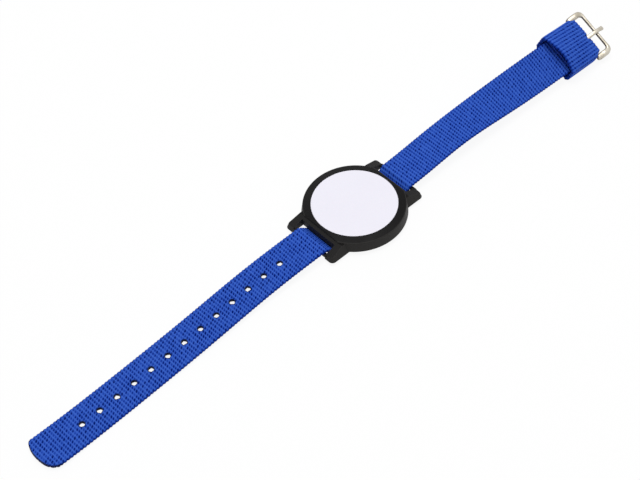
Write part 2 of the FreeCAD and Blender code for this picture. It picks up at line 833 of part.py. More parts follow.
def make_buckle_frame():
    body = new_body("buckle_frame")
    knuckle = (0, 0, size("knuckle_radius"))
    middle = (size("arm_middle"), size("arm_rise"), size("arm_radius"))
    bar_radius = size("front_bar_radius")
    front = (size("frame_reach") - bar_radius, size("front_bar_rise"), bar_radius)
    side = new_sketch(body, "frame_side", "XZ_Plane")
    upper_first = tangent_points(knuckle, middle, 1)
    upper_second = tangent_points(middle, front, 1)
    lower_first = tangent_points(knuckle, middle, -1)
    lower_second = tangent_points(middle, front, -1)
    add_chain(side, [
        upper_first[0],
        upper_first[1],
        between(middle, upper_first[1], upper_second[0]),
        upper_second[0],
        upper_second[1],
        between(front, upper_second[1], lower_second[1]),
        lower_second[1],
        lower_second[0],
        between(middle, lower_second[0], lower_first[1]),
        lower_first[1],
        lower_first[0],
        arc_middle(0, 0, knuckle[2], 180),
    ])
    pad(body, side, "frame_block",
        "Sizes.webbing_width + 2 * Sizes.frame_side_gap + 2 * Sizes.frame_arm_width", symmetric=True)

    # Outer corners, round in plan.
    half_frame = half_webbing + size("frame_side_gap") + size("frame_arm_width")
    corner = size("frame_corner_radius")
    reach = size("frame_reach")
    corners = new_sketch(body, "outer_corners", "XY_Plane", -2 * size("arm_radius"))
    wedge = [
        (reach - corner, half_frame),
        arc_middle(reach - corner, half_frame - corner, corner, 45),
        (reach, half_frame - corner),
        (2 * reach, half_frame - corner),
        (2 * reach, 2 * half_frame),
        (reach - corner, 2 * half_frame),
    ]
    add_chain(corners, wedge)
    add_chain(corners, [("arc", point[1], -point[2]) if point[0] == "arc" else (point[0], -point[1])
                        for point in wedge])
    pocket(body, corners, "corner_rounding", "8 * Sizes.arm_radius", reverse=True)

    # Window for the webbing's fold.
    window = new_sketch(body, "frame_window", "XY_Plane")
    half_window = half_webbing + size("frame_side_gap")
    inner = size("window_corner_radius")
    window_front = reach - 2 * bar_radius
    add_chain(window, [
        (-2 * reach, -half_window),
        (window_front - inner, -half_window),
        arc_middle(window_front - inner, -half_window + inner, inner, -45),
        (window_front, -half_window + inner),
        (window_front, half_window - inner),
        arc_middle(window_front - inner, half_window - inner, inner, 45),
        (window_front - inner, half_window),
        (-2 * reach, half_window),
    ])
    pocket(body, window, "window", "8 * Sizes.arm_radius", symmetric=True)

    # Front bar: everything round it is cut away between the corners, so that it is a round bar.
    relief = new_sketch(body, "front_relief", "XZ_Plane")
    add_circle(relief, front[0], front[1], bar_radius, "Sizes.front_bar_radius")
    add_chain(relief, [
        (front[0] - 2 * bar_radius, -2 * middle[2]),
        (2 * reach, -2 * middle[2]),
        (2 * reach, 2 * reach),
        (front[0] - 2 * bar_radius, 2 * reach),
    ])
    pocket(body, relief, "round_front_bar",
           "Sizes.webbing_width + 2 * Sizes.frame_side_gap - 2 * Sizes.front_relief_margin", symmetric=True)

    bore = new_sketch(body, "bar_bore", "XZ_Plane")
    add_circle(bore, 0, 0, size("bar_radius"), "Sizes.bar_radius")
    pocket(body, bore, "bore", "4 * Sizes.webbing_width", symmetric=True)
    body.Placement = buckle_place
    return body


def make_buckle_bar():
    bar = doc.addObject("Part::Cylinder", "buckle_bar")
    bar.Label = "buckle_bar"
    bar.setExpression("Radius", "Sizes.bar_radius")
    bar.setExpression("Height", "Sizes.webbing_width + 2 * Sizes.frame_side_gap + 2 * Sizes.frame_arm_width")
    doc.recompute()
    across = Placement(Vector(0, bar.Height.Value / 2, 0), Rotation(Vector(1, 0, 0), 90))
    bar.Placement = buckle_place.multiply(across)
    return bar


# The tang's side view, as shares: how far out and how high its hump is, where its underside starts to droop and by
# how much of the tip's drop, how far the nose's foremost point is below its middle, and where the shaft leaves the eye.
TANG_HUMP_SHARE = 0.62
TANG_HUMP_RISE = 1.12
TANG_DROOP_SHARE = 0.45
TANG_DROOP_FALL = 0.28
TANG_NOSE_FALL = 0.2
TANG_ROOT_X = 0.9
TANG_ROOT_Z = 0.3
TANG_HEEL_Z = 0.75


def make_buckle_tang():
    body = new_body("buckle_tang")
    eye = size("bar_radius") + size("tang_running_gap") + size("tang_wall")
    thick = size("tang_thickness")
    bar_radius = size("front_bar_radius")
    front_x = size("frame_reach") - bar_radius
    rest = size("front_bar_rise") + bar_radius + size("tang_rest_gap")
    tip_x = size("frame_reach") + size("tang_overhang")
    tip_z = rest - size("tang_tip_drop")
    nose = thick / 2
    hump_x = front_x * TANG_HUMP_SHARE
    hump_z = rest + thick * TANG_HUMP_RISE
    droop_x = front_x + (tip_x - front_x) * TANG_DROOP_SHARE
    droop_z = rest - size("tang_tip_drop") * TANG_DROOP_FALL
    lead = tangent_points((0, 0, eye), (hump_x, hump_z - 2 * thick, 2 * thick), 1)
    side = new_sketch(body, "tang_side", "XZ_Plane")
    add_chain(side, [
        lead[0],
        lead[1],
        ("arc", front_x, rest + thick),
        (tip_x - nose, tip_z + nose),
        ("arc", tip_x, tip_z - nose * TANG_NOSE_FALL),
        (tip_x - nose, tip_z - nose),
        ("arc", droop_x, droop_z),
        (front_x, rest),
        (hump_x, rest),
        (eye * TANG_ROOT_X, eye * TANG_ROOT_Z),
        (0, eye * TANG_HEEL_Z),
    ])
    pad(body, side, "tang_shaft", "Sizes.tang_width", symmetric=True)
    ring = new_sketch(body, "eye_circle", "XZ_Plane")
    add_circle(ring, 0, 0, eye, "Sizes.bar_radius + Sizes.tang_running_gap + Sizes.tang_wall")
    pad(body, ring, "tang_eye", "Sizes.tang_width", symmetric=True)
    bore = new_sketch(body, "eye_bore", "XZ_Plane")
    add_circle(bore, 0, 0, size("bar_radius"), "Sizes.bar_radius + Sizes.tang_running_gap")
    pocket(body, bore, "eye_hole", "2 * Sizes.tang_width", symmetric=True)
    body.Placement = buckle_place.multiply(Placement(Vector(0, size("tang_offset"), 0), Rotation()))
    return body


def stitch_row(x, count, top, bottom):
    """A row of stitches across the strap: a bar of thread above and below, joined by a leg at each end."""
    radius = size("thread_radius")
    length = size("stitch_length")
    pitch = size("stitch_pitch")
    threads = []
    for number in range(count):
        centre_y = (number - (count - 1) / 2) * pitch
        left = centre_y - length / 2
        loop = Part.makeCylinder(radius, length, Vector(x, left, top), Vector(0, 1, 0))
        back = Part.makeCylinder(radius, length, Vector(x, left, bottom), Vector(0, 1, 0))
        legs = []
        for end in (left, left + length):
            legs.append(Part.makeCylinder(radius, top - bottom, Vector(x, end, bottom), Vector(0, 0, 1)))
            legs.append(Part.makeSphere(radius, Vector(x, end, top)))
            legs.append(Part.makeSphere(radius, Vector(x, end, bottom)))
        threads.append(loop.multiFuse([back] + legs))
    return threads


# How far the middle of the thread stands out of the webbing above, and below, as shares of its radius.
THREAD_STAND = 0.5
THREAD_SINK = 0.2


def make_stitching():
    radius = size("thread_radius")
    seam_x = -size("fold_length") + size("seam_inset")
    fold_bottom = fold_outer - 2 * webbing_thickness - size("webbing_gap")
    fold_row = stitch_row(seam_x, int(size("fold_stitches")), fold_outer + radius * THREAD_STAND,
                          fold_bottom - radius * THREAD_SINK)
    fold_thread = solid_part("fold_stitching", Part.makeCompound(fold_row))
    fold_thread.Placement = buckle_place

    keeper_x = seam_x + size("seam_inset")
    keeper_row = stitch_row(keeper_x, int(size("keeper_stitches")), fold_bottom + half_thickness,
                            keeper_floor - webbing_thickness)
    keeper_thread = solid_part("keeper_stitching", Part.makeCompound(keeper_row))
    keeper_thread.Placement = buckle_place
    return [fold_thread, keeper_thread]


parts = [make_case_body()]
parts += make_face()
parts += make_back_cover()
parts += make_inlay()
parts += [make_strap_centre(), make_strap_tail(), make_strap_buckle_end(), make_keeper()]
parts += [make_buckle_frame(), make_buckle_bar(), make_buckle_tang()]
parts += make_stitching()
doc.recompute()

for thing in doc.Objects:
    if "Invalid" in thing.State or "Error" in thing.State:
        raise ValueError("failed: " + thing.Name)
for part in parts:
    if part.Shape.isNull() or not part.Shape.isValid():
        raise ValueError("bad shape: " + part.Label)

os.makedirs("parts", exist_ok=True)
for part in parts:
    part.Shape.exportStep(f"parts/{part.Label}.step")
    box = part.Shape.BoundBox
    print(f"{part.Label}: solids {len(part.Shape.Solids)}, volume {part.Shape.Volume:.2f},"
          f" x {box.XMin:.2f} to {box.XMax:.2f}, y {box.YMin:.2f} to {box.YMax:.2f},"
          f" z {box.ZMin:.2f} to {box.ZMax:.2f}")
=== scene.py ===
import json
import math

import bmesh
import bpy
import numpy as np
from bpy.props import FloatProperty, IntProperty, PointerProperty, StringProperty
from mathutils import Matrix, Vector


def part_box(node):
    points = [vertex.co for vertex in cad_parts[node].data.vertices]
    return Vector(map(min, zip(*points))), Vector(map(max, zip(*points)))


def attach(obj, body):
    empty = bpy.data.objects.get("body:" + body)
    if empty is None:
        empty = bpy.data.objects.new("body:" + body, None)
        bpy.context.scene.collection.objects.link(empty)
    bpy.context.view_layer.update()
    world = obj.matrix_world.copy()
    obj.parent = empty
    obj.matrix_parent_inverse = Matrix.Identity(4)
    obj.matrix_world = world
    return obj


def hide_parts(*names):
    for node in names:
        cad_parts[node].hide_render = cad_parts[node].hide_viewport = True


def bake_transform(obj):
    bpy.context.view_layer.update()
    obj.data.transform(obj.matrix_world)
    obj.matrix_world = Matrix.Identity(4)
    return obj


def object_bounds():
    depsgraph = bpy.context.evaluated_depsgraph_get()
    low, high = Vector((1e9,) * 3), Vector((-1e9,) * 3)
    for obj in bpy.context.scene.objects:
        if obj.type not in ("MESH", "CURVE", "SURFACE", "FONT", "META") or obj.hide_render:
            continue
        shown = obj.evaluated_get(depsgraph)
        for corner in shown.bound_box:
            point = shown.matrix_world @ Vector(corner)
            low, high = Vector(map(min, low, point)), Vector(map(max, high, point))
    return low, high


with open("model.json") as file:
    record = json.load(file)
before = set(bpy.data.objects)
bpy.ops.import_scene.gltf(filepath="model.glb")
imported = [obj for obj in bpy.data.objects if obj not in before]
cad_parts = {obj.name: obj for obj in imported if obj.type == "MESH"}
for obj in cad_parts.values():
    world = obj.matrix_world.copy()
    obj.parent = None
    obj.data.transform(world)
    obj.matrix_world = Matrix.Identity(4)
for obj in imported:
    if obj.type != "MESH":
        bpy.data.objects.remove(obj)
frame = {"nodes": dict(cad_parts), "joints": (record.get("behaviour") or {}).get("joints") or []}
CAD_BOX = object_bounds()

bl_info = {
    "name": "Transponder wristband",
    "version": (1, 0, 0),
    "blender": (4, 5, 0),
    "location": "3D View > Sidebar > Wristband",
    "description": "Dresses the packed wristband: woven strap, keeper, buckle, case finishes and stage",
    "category": "Object",
}

MM = 0.001
JOINTS = {joint["name"]: joint for joint in frame["joints"]}

# Places that the pieces share, in millimetres. The joints give the lug bars and the buckle's bar.
LUG_BAR = np.array(JOINTS["buckle_side_bend"]["pos_m"]) / MM
BUCKLE_BAR = np.array(JOINTS["buckle_pivot"]["pos_m"]) / MM
# The strap turns up from the case's underside round BEND_CENTRE, and then over the lug bar, at one radius.
BEND_CENTRE = np.array([16.15, 0.0, 2.1])
WRAP_RADIUS = 1.5
CLIMB_ANGLE = math.degrees(math.asin(2 * WRAP_RADIUS / (LUG_BAR[0] - BEND_CENTRE[0])))
# How the buckle lies in the photograph: rolled about the strap, and a little turned and tipped.
BUCKLE_ROLL = 25.0
BUCKLE_TURN = np.array(
    Matrix.Rotation(math.radians(-2.0), 3, "Z")
    @ Matrix.Rotation(math.radians(-1.4), 3, "Y")
    @ Matrix.Rotation(math.radians(BUCKLE_ROLL), 3, "X")
)
# In the buckle's own frame: the fold's middle line and outer face over the bar, its two ends along the strap,
# the top of the keeper's floor, and the tang's place across.
FOLD_MIDDLE = 1.35
FOLD_OUTER = 1.95
FOLD_START = -18.5
FOLD_END = -16.2
KEEPER_FLOOR = -2.05
TANG_ASIDE = -0.6
# How far the darker rim reaches from a heat-cut edge, and a distance that is out of reach of any.
RIM_REACH = 0.45
FAR = 9.0
MATH = "ShaderNodeMath"
VECTOR_MATH = "ShaderNodeVectorMath"


def linear(code):
    """A colour written as an sRGB hex value, as the linear colour that a shader takes."""
    parts = [int(code[i:i + 2], 16) / 255 for i in (1, 3, 5)]
    return [c / 12.92 if c <= 0.04045 else ((c + 0.055) / 1.055) ** 2.4 for c in parts] + [1.0]


def repeats(size):
    """How often a texture's unit of this size in millimetres fits in a metre, which is its scale."""
    return 1 / (size * MM)


def feed(tree, node, inputs):
    """Sets a node's inputs, by name or in order. A value may be a socket, a node, or what the input holds."""
    for key, value in inputs.items() if isinstance(inputs, dict) else enumerate(inputs):
        if isinstance(value, bpy.types.Node):
            value = value.outputs[0]
        if isinstance(value, bpy.types.NodeSocket):
            tree.links.new(value, node.inputs[key])
        else:
            node.inputs[key].default_value = value
    return node


def add(tree, kind, settings=None, inputs=()):
    """Adds a node. Settings may be one word, the operation. A ramp's stops are (position, sRGB hex value)."""
    node = tree.nodes.new(kind)
    if isinstance(settings, str):
        settings = {"operation": settings}
    for name, value in (settings or {}).items():
        if name == "stops":
            elements = node.color_ramp.elements
            elements.remove(elements[-1])
            elements[0].position, elements[0].color = value[0][0], linear(value[0][1])
            for position, code in value[1:]:
                elements.new(position).color = linear(code)
        else:
            setattr(node, name, value)
    return feed(tree, node, inputs)


# Lines in space

def unit(vectors):
    lengths = np.linalg.norm(vectors, axis=-1, keepdims=True)
    return vectors / np.maximum(lengths, 1e-12)


def smooth(share):
    share = np.clip(share, 0.0, 1.0)
    return share * share * (3 - 2 * share)


def travelled(line):
    """The distance from a line's start to each of its points."""
    return np.concatenate([[0], np.cumsum(np.linalg.norm(np.diff(line, axis=0), axis=1))])


def flat_arc(x, y, radius, start, end, count):
    """Points (x, y) of an arc; 0 degrees is along the first axis and 90 along the second."""
    angles = np.radians(np.linspace(start, end, count))
    return [(x + radius * math.cos(angle), y + radius * math.sin(angle)) for angle in angles]


def upright_arc(centre, radius, start, end, count):
    """Points of an arc in the upright plane along the strap; 0 degrees is +X and 90 is up."""
    x, y, z = centre
    return np.array([(px, y, pz) for px, pz in flat_arc(x, z, radius, start, end, count)])


def course(points, first_heading, last_heading, count):
    """A smooth line through points that leaves and arrives in the given headings."""
    points = np.asarray(points, float)
    times = travelled(points)
    gaps = np.diff(times)
    total = len(points)
    slopes = np.zeros((total, 3))
    matrix = np.zeros((total, total))
    matrix[0, 0] = matrix[-1, -1] = 1
    slopes[0] = unit(np.asarray(first_heading, float))
    slopes[-1] = unit(np.asarray(last_heading, float))
    for i in range(1, total - 1):
        before, after = gaps[i - 1], gaps[i]
        matrix[i, i - 1], matrix[i, i], matrix[i, i + 1] = after, 2 * (before + after), before
        ahead, behind = points[i + 1] - points[i], points[i] - points[i - 1]
        slopes[i] = 3 * (before * ahead / after + after * behind / before)
    slopes = np.linalg.solve(matrix, slopes)
    at = np.linspace(0, times[-1], count)
    index = np.clip(np.searchsorted(times, at, side="right") - 1, 0, total - 2)
    width = gaps[index][:, None]
    share = (at - times[index])[:, None] / width
    return (
        (2 * share ** 3 - 3 * share ** 2 + 1) * points[index]
        + (share ** 3 - 2 * share ** 2 + share) * width * slopes[index]
        + (3 * share ** 2 - 2 * share ** 3) * points[index + 1]
        + (share ** 3 - share ** 2) * width * slopes[index + 1]
    )


def joined(stretches):
    """Stretches of a line end to end, without the points that repeat."""
    return np.concatenate([stretches[0]] + [stretch[1:] for stretch in stretches[1:]])


def to_buckle(points):
    """Points of the buckle's own frame (X along the strap, Y across, Z out of its top), set in place."""
    return np.asarray(points, float) @ BUCKLE_TURN.T + BUCKLE_BAR


def level_across(line, roll):
    """Directions across a strap that lies level and is then turned about its line by roll degrees."""
    along = unit(np.gradient(line, axis=0))
    level = unit(np.cross([0.0, 0.0, 1.0], along))
    upright = np.cross(along, level)
    angle = np.radians(roll)[:, None]
    return level * np.cos(angle) + upright * np.sin(angle)


# Objects

def new_object(name, data):
    thing = bpy.data.objects.new(name, data)
    bpy.context.scene.collection.objects.link(thing)
    return thing


def mesh_object(name, points, edges=(), faces=()):
    """A mesh object through points in millimetres."""
    mesh = bpy.data.meshes.new(name)
    mesh.from_pydata([tuple(np.asarray(point) * MM) for point in points], edges, faces)
    mesh.validate()
    return new_object(name, mesh)


def made_solid(thing, merge=2e-6):
    """Merges doubles, closes open ends and turns every face outwards."""
    work = bmesh.new()
    work.from_mesh(thing.data)
    bmesh.ops.remove_doubles(work, verts=work.verts, dist=merge)
    bmesh.ops.dissolve_degenerate(work, edges=work.edges, dist=merge / 4)
    rims = [edge for edge in work.edges if edge.is_boundary]
    if rims:
        bmesh.ops.holes_fill(work, edges=rims, sides=0)
    bmesh.ops.recalc_face_normals(work, faces=work.faces)
    if work.calc_volume(signed=True) < 0:
        bmesh.ops.reverse_faces(work, faces=work.faces)
    work.to_mesh(thing.data)
    work.free()
    return thing


def ringed(name, rings):
    """A closed solid through rings of the same number of points. An end ring may be one point repeated."""
    sides = len(rings[0])
    last = (len(rings) - 1) * sides
    faces = [tuple(range(sides)), tuple(range(last, last + sides))]
    for start in range(0, last, sides):
        for k in range(sides):
            after = (k + 1) % sides
            faces.append((start + k, start + after, start + sides + after, start + sides + k))
    return made_solid(mesh_object(name, [point for ring in rings for point in ring], faces=faces))


def round_rings(middles, radii, first, second, sides):
    """Circles round middles, in the plane of the directions first and second."""
    angles = [2 * math.pi * k / sides for k in range(sides)]
    return [[middle + (first * math.cos(angle) + second * math.sin(angle)) * radius for angle in angles]
            for middle, radius in zip(middles, radii)]


def loft(name, stations, sides):
    """A rounded bar through stations: (middle, across, up, half width, half height, squareness, flare).

    Flare pushes the lower half of the side that across points to outwards.
    """
    rings = []
    for middle, across, up, wide, high, square, flare in stations:
        ring = []
        for k in range(sides):
            angle = 2 * math.pi * k / sides
            c, s = math.cos(angle), math.sin(angle)
            x = math.copysign(abs(c) ** (2 / square), c)
            y = math.copysign(abs(s) ** (2 / square), s)
            aside = x * wide + flare * max(0.0, x) * max(0.0, -y)
            ring.append(middle + across * aside + up * y * high)
        rings.append(ring)
    return shade(ringed(name, rings), 60)


def shade(thing, degrees):
    """Smooth shading, with edges kept sharp where the faces meet at more than the given angle."""
    thing.data.shade_smooth()
    thing.data.set_sharp_from_angle(angle=math.radians(degrees))
    return thing


def dress(thing, material):
    thing.data.materials.clear()
    thing.data.materials.append(material)
    return thing


def applied(thing, name):
    """The object with its modifiers applied, as a plain mesh object."""
    bpy.context.view_layer.update()
    graph = bpy.context.evaluated_depsgraph_get()
    mesh = bpy.data.meshes.new_from_object(
        thing.evaluated_get(graph), preserve_all_data_layers=True, depsgraph=graph)
    mesh.name = name
    bpy.data.objects.remove(thing)
    return new_object(name, mesh)


def grown(thing, tree, values, name):
    """Runs a Geometry Nodes tree on an object and gives the result as a plain mesh object."""
    modifier = thing.modifiers.new("pattern", "NODES")
    modifier.node_group = tree
    sockets = {item.name: item.identifier for item in tree.interface.items_tree if item.in_out == "INPUT"}
    for key, value in values.items():
        modifier[sockets[key]] = value
    return applied(thing, name)


def cut(thing, cutter):
    """Takes the cutter's space out of the object. Both are closed."""
    modifier = thing.modifiers.new("cut", "BOOLEAN")
    modifier.operation = "DIFFERENCE"
    modifier.solver = "MANIFOLD"
    modifier.object = cutter
    before = len(thing.data.vertices)
    result = applied(thing, thing.name)
    bpy.data.objects.remove(cutter)
    if len(result.data.vertices) in (0, before):
        raise RuntimeError(result.name + " wasn't cut")
    # The faces of the cut take the piece's own material.
    own = [material for material in result.data.materials if material is not None][0]
    result.data.polygons.foreach_set("material_index", [0] * len(result.data.polygons))
    return dress(result, own)


def made_once(recipe):
    """Makes a recipe's material or tree the first time, and finds it by its name after that."""
    def find(name, *values, **more):
        made = bpy.data.materials.get(name) or bpy.data.node_groups.get(name)
        return made or recipe(name, *values, **more)
    return find


# Geometry Nodes trees

def open_tree(name, sockets):
    """An empty tree whose named inputs have the given kinds and defaults, and the sockets they come in by."""
    tree = bpy.data.node_groups.new(name, "GeometryNodeTree")
    tree.interface.new_socket("Geometry", in_out="INPUT", socket_type="NodeSocketGeometry")
    tree.interface.new_socket("Geometry", in_out="OUTPUT", socket_type="NodeSocketGeometry")
    for label, kind, value in sockets + [("Material", "Material", None)]:
        socket = tree.interface.new_socket(label, in_out="INPUT", socket_type="NodeSocket" + kind)
        if value is not None:
            socket.default_value = value
    return tree, add(tree, "NodeGroupInput").outputs


def close_tree(tree, geometry, material):
    plain = add(tree, "GeometryNodeRealizeInstances", None, [geometry])
    dressed = add(tree, "GeometryNodeSetMaterial", None, {"Geometry": plain, "Material": material})
    add(tree, "NodeGroupOutput", None, [dressed])
    return tree


@made_once
def weave_tree(name):
    """Woven webbing along a line: ribs across it, with a row of slanted pits in each groove between them."""
    tree, given = open_tree(name, [
        ("Thickness", "Float", 1.2 * MM),
        ("Ribs", "Int", 100),
        ("Yarns", "Int", 14),
        ("Yarn share", "Float", 0.85),
        ("Rib sharpness", "Float", 3.2),
        ("Slant", "Float", -0.8),
        ("Steps per rib", "Int", 6),
        ("Steps per yarn", "Int", 5),
        ("Rib height", "Float", 0.34 * MM),
        ("Edge round", "Float", 0.6 * MM),
        ("Edge wave", "Float", 0.03),
    ])
    # A flat grid: its X is the way along the strap and its Y the way round it.
    along_steps = add(tree, MATH, "MULTIPLY_ADD", (given["Ribs"], given["Steps per rib"], 1.0))
    face_steps = add(tree, MATH, "MULTIPLY", (given["Yarns"], given["Steps per yarn"]))
    round_steps = add(tree, MATH, "MULTIPLY_ADD", (face_steps, 2.0, 1.0))
    grid = add(tree, "GeometryNodeMeshGrid", None, {
        "Size X": 1.0, "Size Y": 1.0, "Vertices X": along_steps, "Vertices Y": round_steps})
    place = add(tree, "ShaderNodeSeparateXYZ", None, [add(tree, "GeometryNodeInputPosition")])
    factor = add(tree, MATH, "ADD", (place.outputs[0], 0.5))
    around = add(tree, MATH, "ADD", (place.outputs[1], 0.5))

    line = add(tree, "GeometryNodeMeshToCurve", None, [given["Geometry"]])
    vector = {"data_type": "FLOAT_VECTOR"}
    reach, outward = (
        add(tree, "GeometryNodeSampleCurve", {"use_all_curves": True, **vector}, {
            "Curves": line, "Factor": factor,
            "Value": add(tree, "GeometryNodeInputNamedAttribute", vector, {"Name": label})})
        for label in ("reach", "outward"))
    direction = add(tree, VECTOR_MATH, "NORMALIZE", [outward.outputs["Value"]])
    full = add(tree, VECTOR_MATH, "LENGTH", [reach.outputs["Value"]]).outputs["Value"]
    half = add(tree, MATH, "MULTIPLY", (full, 0.5))

    # The face of the strap, the place across it from -1 to 1, and the rounding near the edge.
    twice = add(tree, MATH, "MULTIPLY_ADD", (around, 2.0, -1.0))
    face = add(tree, MATH, "SIGN", [add(tree, MATH, "MULTIPLY", (twice, -1.0))])
    fold = add(tree, MATH, "ABSOLUTE", [twice])
    across = add(tree, MATH, "MULTIPLY_ADD", (fold, -2.0, 1.0))
    inward = add(tree, MATH, "SUBTRACT", (1.0, add(tree, MATH, "ABSOLUTE", [across])))
    edge_distance = add(tree, MATH, "MULTIPLY", (inward, half))
    share = add(tree, MATH, {"operation": "DIVIDE", "use_clamp": True}, (edge_distance, given["Edge round"]))
    rest = add(tree, MATH, "SUBTRACT", (2.0, share))
    rounding = add(tree, MATH, "SQRT", [add(tree, MATH, "MULTIPLY", (share, rest))])

    # A rib's crest runs on across the strap. The groove beside it is broken into pits, one between each two
    # yarns, and the pits of one groove stand half a yarn aside from those of the next.
    rib_phase = add(tree, MATH, "MULTIPLY", (factor, given["Ribs"]))
    groove_number = add(tree, MATH, "FLOOR", [add(tree, MATH, "ADD", (rib_phase, 0.5))])
    groove_share = add(tree, MATH, "SUBTRACT", (rib_phase, groove_number))
    rib_sine = add(tree, MATH, "SINE", [add(tree, MATH, "MULTIPLY", (rib_phase, math.pi))])
    rib_wave = add(tree, MATH, "ABSOLUTE", [rib_sine])
    rib = add(tree, MATH, "POWER", (rib_wave, given["Rib sharpness"]))
    groove = add(tree, MATH, "SUBTRACT", (1.0, rib))
    odd = add(tree, MATH, "MODULO", (groove_number, 2.0))
    stagger = add(tree, MATH, "MULTIPLY", (odd, 0.5))
    aslant = add(tree, MATH, "MULTIPLY_ADD", (groove_share, given["Slant"], stagger))
    width_share = add(tree, MATH, "MULTIPLY_ADD", (across, 0.5, 0.5))
    yarn_place = add(tree, MATH, "MULTIPLY", (width_share, given["Yarns"]))
    yarn_phase = add(tree, MATH, "ADD", (yarn_place, aslant))
    yarn_sine = add(tree, MATH, "SINE", [add(tree, MATH, "MULTIPLY", (yarn_phase, math.pi))])
    yarn = add(tree, MATH, "MULTIPLY", (yarn_sine, yarn_sine))
    # Every second pit is shallower, and no two are quite alike.
    pit_number = add(tree, MATH, "FLOOR", [add(tree, MATH, "ADD", (yarn_phase, 0.5))])
    second = add(tree, MATH, "FLOORED_MODULO", (pit_number, 2.0))
    shallow = add(tree, MATH, "MULTIPLY_ADD", (second, -0.3, 1.0))
    place_number = add(tree, MATH, "MULTIPLY_ADD", (groove_number, 97.0, pit_number))
    chance = add(tree, "FunctionNodeRandomValue", {"data_type": "FLOAT"}, {"ID": place_number, "Seed": 7})
    uneven = add(tree, MATH, "MULTIPLY_ADD", (chance.outputs["Value"], 1.0, 0.5))
    depth = add(tree, MATH, "MULTIPLY", (shallow, uneven))
    pit = add(tree, MATH, "MULTIPLY", (add(tree, MATH, "SUBTRACT", (1.0, yarn)), depth))
    # Between the pits the yarns bridge the groove, as far as their share says.
    bridged = add(tree, MATH, "SUBTRACT", (pit, 1.0))
    deeper = add(tree, MATH, "MULTIPLY_ADD", (bridged, given["Yarn share"], 1.0))
    weave = add(tree, MATH, "SUBTRACT", (1.0, add(tree, MATH, "MULTIPLY", (groove, deeper))))

    # Height above the middle line: half the thickness on a crest, less in a groove, none at the very edge.
    body = add(tree, MATH, "MULTIPLY", (rounding, add(tree, MATH, "MULTIPLY", (given["Thickness"], 0.5))))
    below_crest = add(tree, MATH, "SUBTRACT", (weave, 1.0))
    depth_here = add(tree, MATH, "MULTIPLY", (below_crest, given["Rib height"]))
    sink = add(tree, MATH, "MULTIPLY", (depth_here, share))
    height = add(tree, MATH, "MULTIPLY", (add(tree, MATH, "ADD", (body, sink)), face))
    lift = add(tree, VECTOR_MATH, "SCALE", {0: direction, "Scale": height})
    # The strap is a little narrower in a groove.
    drawn_in = add(tree, MATH, "MULTIPLY", (add(tree, MATH, "SUBTRACT", (rib_wave, 1.0)), given["Edge wave"]))
    half_place = add(tree, MATH, "MULTIPLY", (across, 0.5))
    widen = add(tree, MATH, "MULTIPLY", (half_place, add(tree, MATH, "ADD", (drawn_in, 1.0))))
    spread = add(tree, VECTOR_MATH, "SCALE", {0: reach.outputs["Value"], "Scale": widen})
    offset = add(tree, VECTOR_MATH, "ADD", (lift, spread))
    position = add(tree, VECTOR_MATH, "ADD", (reach.outputs["Position"], offset))

    # What the material reads: the weave's height, darkened towards the edges by painted shade, and the place
    # along and across the strap.
    length = add(tree, "GeometryNodeCurveLength", None, [line])
    flat_place = add(tree, "ShaderNodeCombineXYZ", None, (
        add(tree, MATH, "MULTIPLY", (factor, length)), add(tree, MATH, "MULTIPLY", (across, half)), face))
    # Painted shade: the tone falls to 0.4 of itself at the very edge of the strap.
    painted_edge_shade = add(tree, MATH, "MULTIPLY_ADD", (share, 0.6, 0.4))
    tone = add(tree, MATH, "MULTIPLY", (weave, painted_edge_shade))
    stored = grid
    for kind, label, value in (("FLOAT", "weave", tone), ("FLOAT_VECTOR", "cloth_place", flat_place)):
        stored = add(tree, "GeometryNodeStoreNamedAttribute", {"data_type": kind, "domain": "POINT"}, {
            "Geometry": stored, "Name": label, "Value": value})
    shaped = add(tree, "GeometryNodeSetPosition", None, {"Geometry": stored, "Position": position})
    return close_tree(tree, shaped, given["Material"])


@made_once
def stitch_tree(name):
    """A row of stitches: the loop of thread given, repeated in even steps."""
    tree, given = open_tree(name, [
        ("Count", "Int", 4),
        ("Step", "Vector", None),
        ("Thread radius", "Float", 0.16 * MM),
    ])
    loop = add(tree, "GeometryNodeMeshToCurve", None, [given["Geometry"]])
    profile = add(tree, "GeometryNodeCurvePrimitiveCircle", None, {
        "Resolution": 10, "Radius": given["Thread radius"]})
    thread = add(tree, "GeometryNodeCurveToMesh", None, (loop, profile))
    row = add(tree, "GeometryNodeMeshLine", None, {"Count": given["Count"], "Offset": given["Step"]})
    copies = add(tree, "GeometryNodeInstanceOnPoints", None, {"Points": row, "Instance": thread})
    return close_tree(tree, copies, given["Material"])


@made_once
def winding_tree(name):
    """Layers of enamelled wire, each wound outwards in a flat spiral."""
    tree, given = open_tree(name, [
        ("Inner radius", "Float", 10.7 * MM),
        ("Outer radius", "Float", 12.1 * MM),
        ("Turns", "Float", 8.0),
        ("Layers", "Int", 3),
        ("First height", "Float", 2.9 * MM),
        ("Layer step", "Float", 0.16 * MM),
        ("Wire radius", "Float", 0.08 * MM),
    ])
    spiral = add(tree, "GeometryNodeCurveSpiral", None, {
        "Resolution": 72, "Rotations": given["Turns"], "Start Radius": given["Inner radius"],
        "End Radius": given["Outer radius"], "Height": 0.0})
    start, step = (add(tree, "ShaderNodeCombineXYZ", None, {"Z": given[label]})
                   for label in ("First height", "Layer step"))
    layers = add(tree, "GeometryNodeMeshLine", None, {
        "Count": given["Layers"], "Start Location": start, "Offset": step})
    profile = add(tree, "GeometryNodeCurvePrimitiveCircle", None, {
        "Resolution": 6, "Radius": given["Wire radius"]})
    wire = add(tree, "GeometryNodeCurveToMesh", None, (spiral, profile))
    copies = add(tree, "GeometryNodeInstanceOnPoints", None, {"Points": layers, "Instance": wire})
    return close_tree(tree, copies, given["Material"])


# Materials

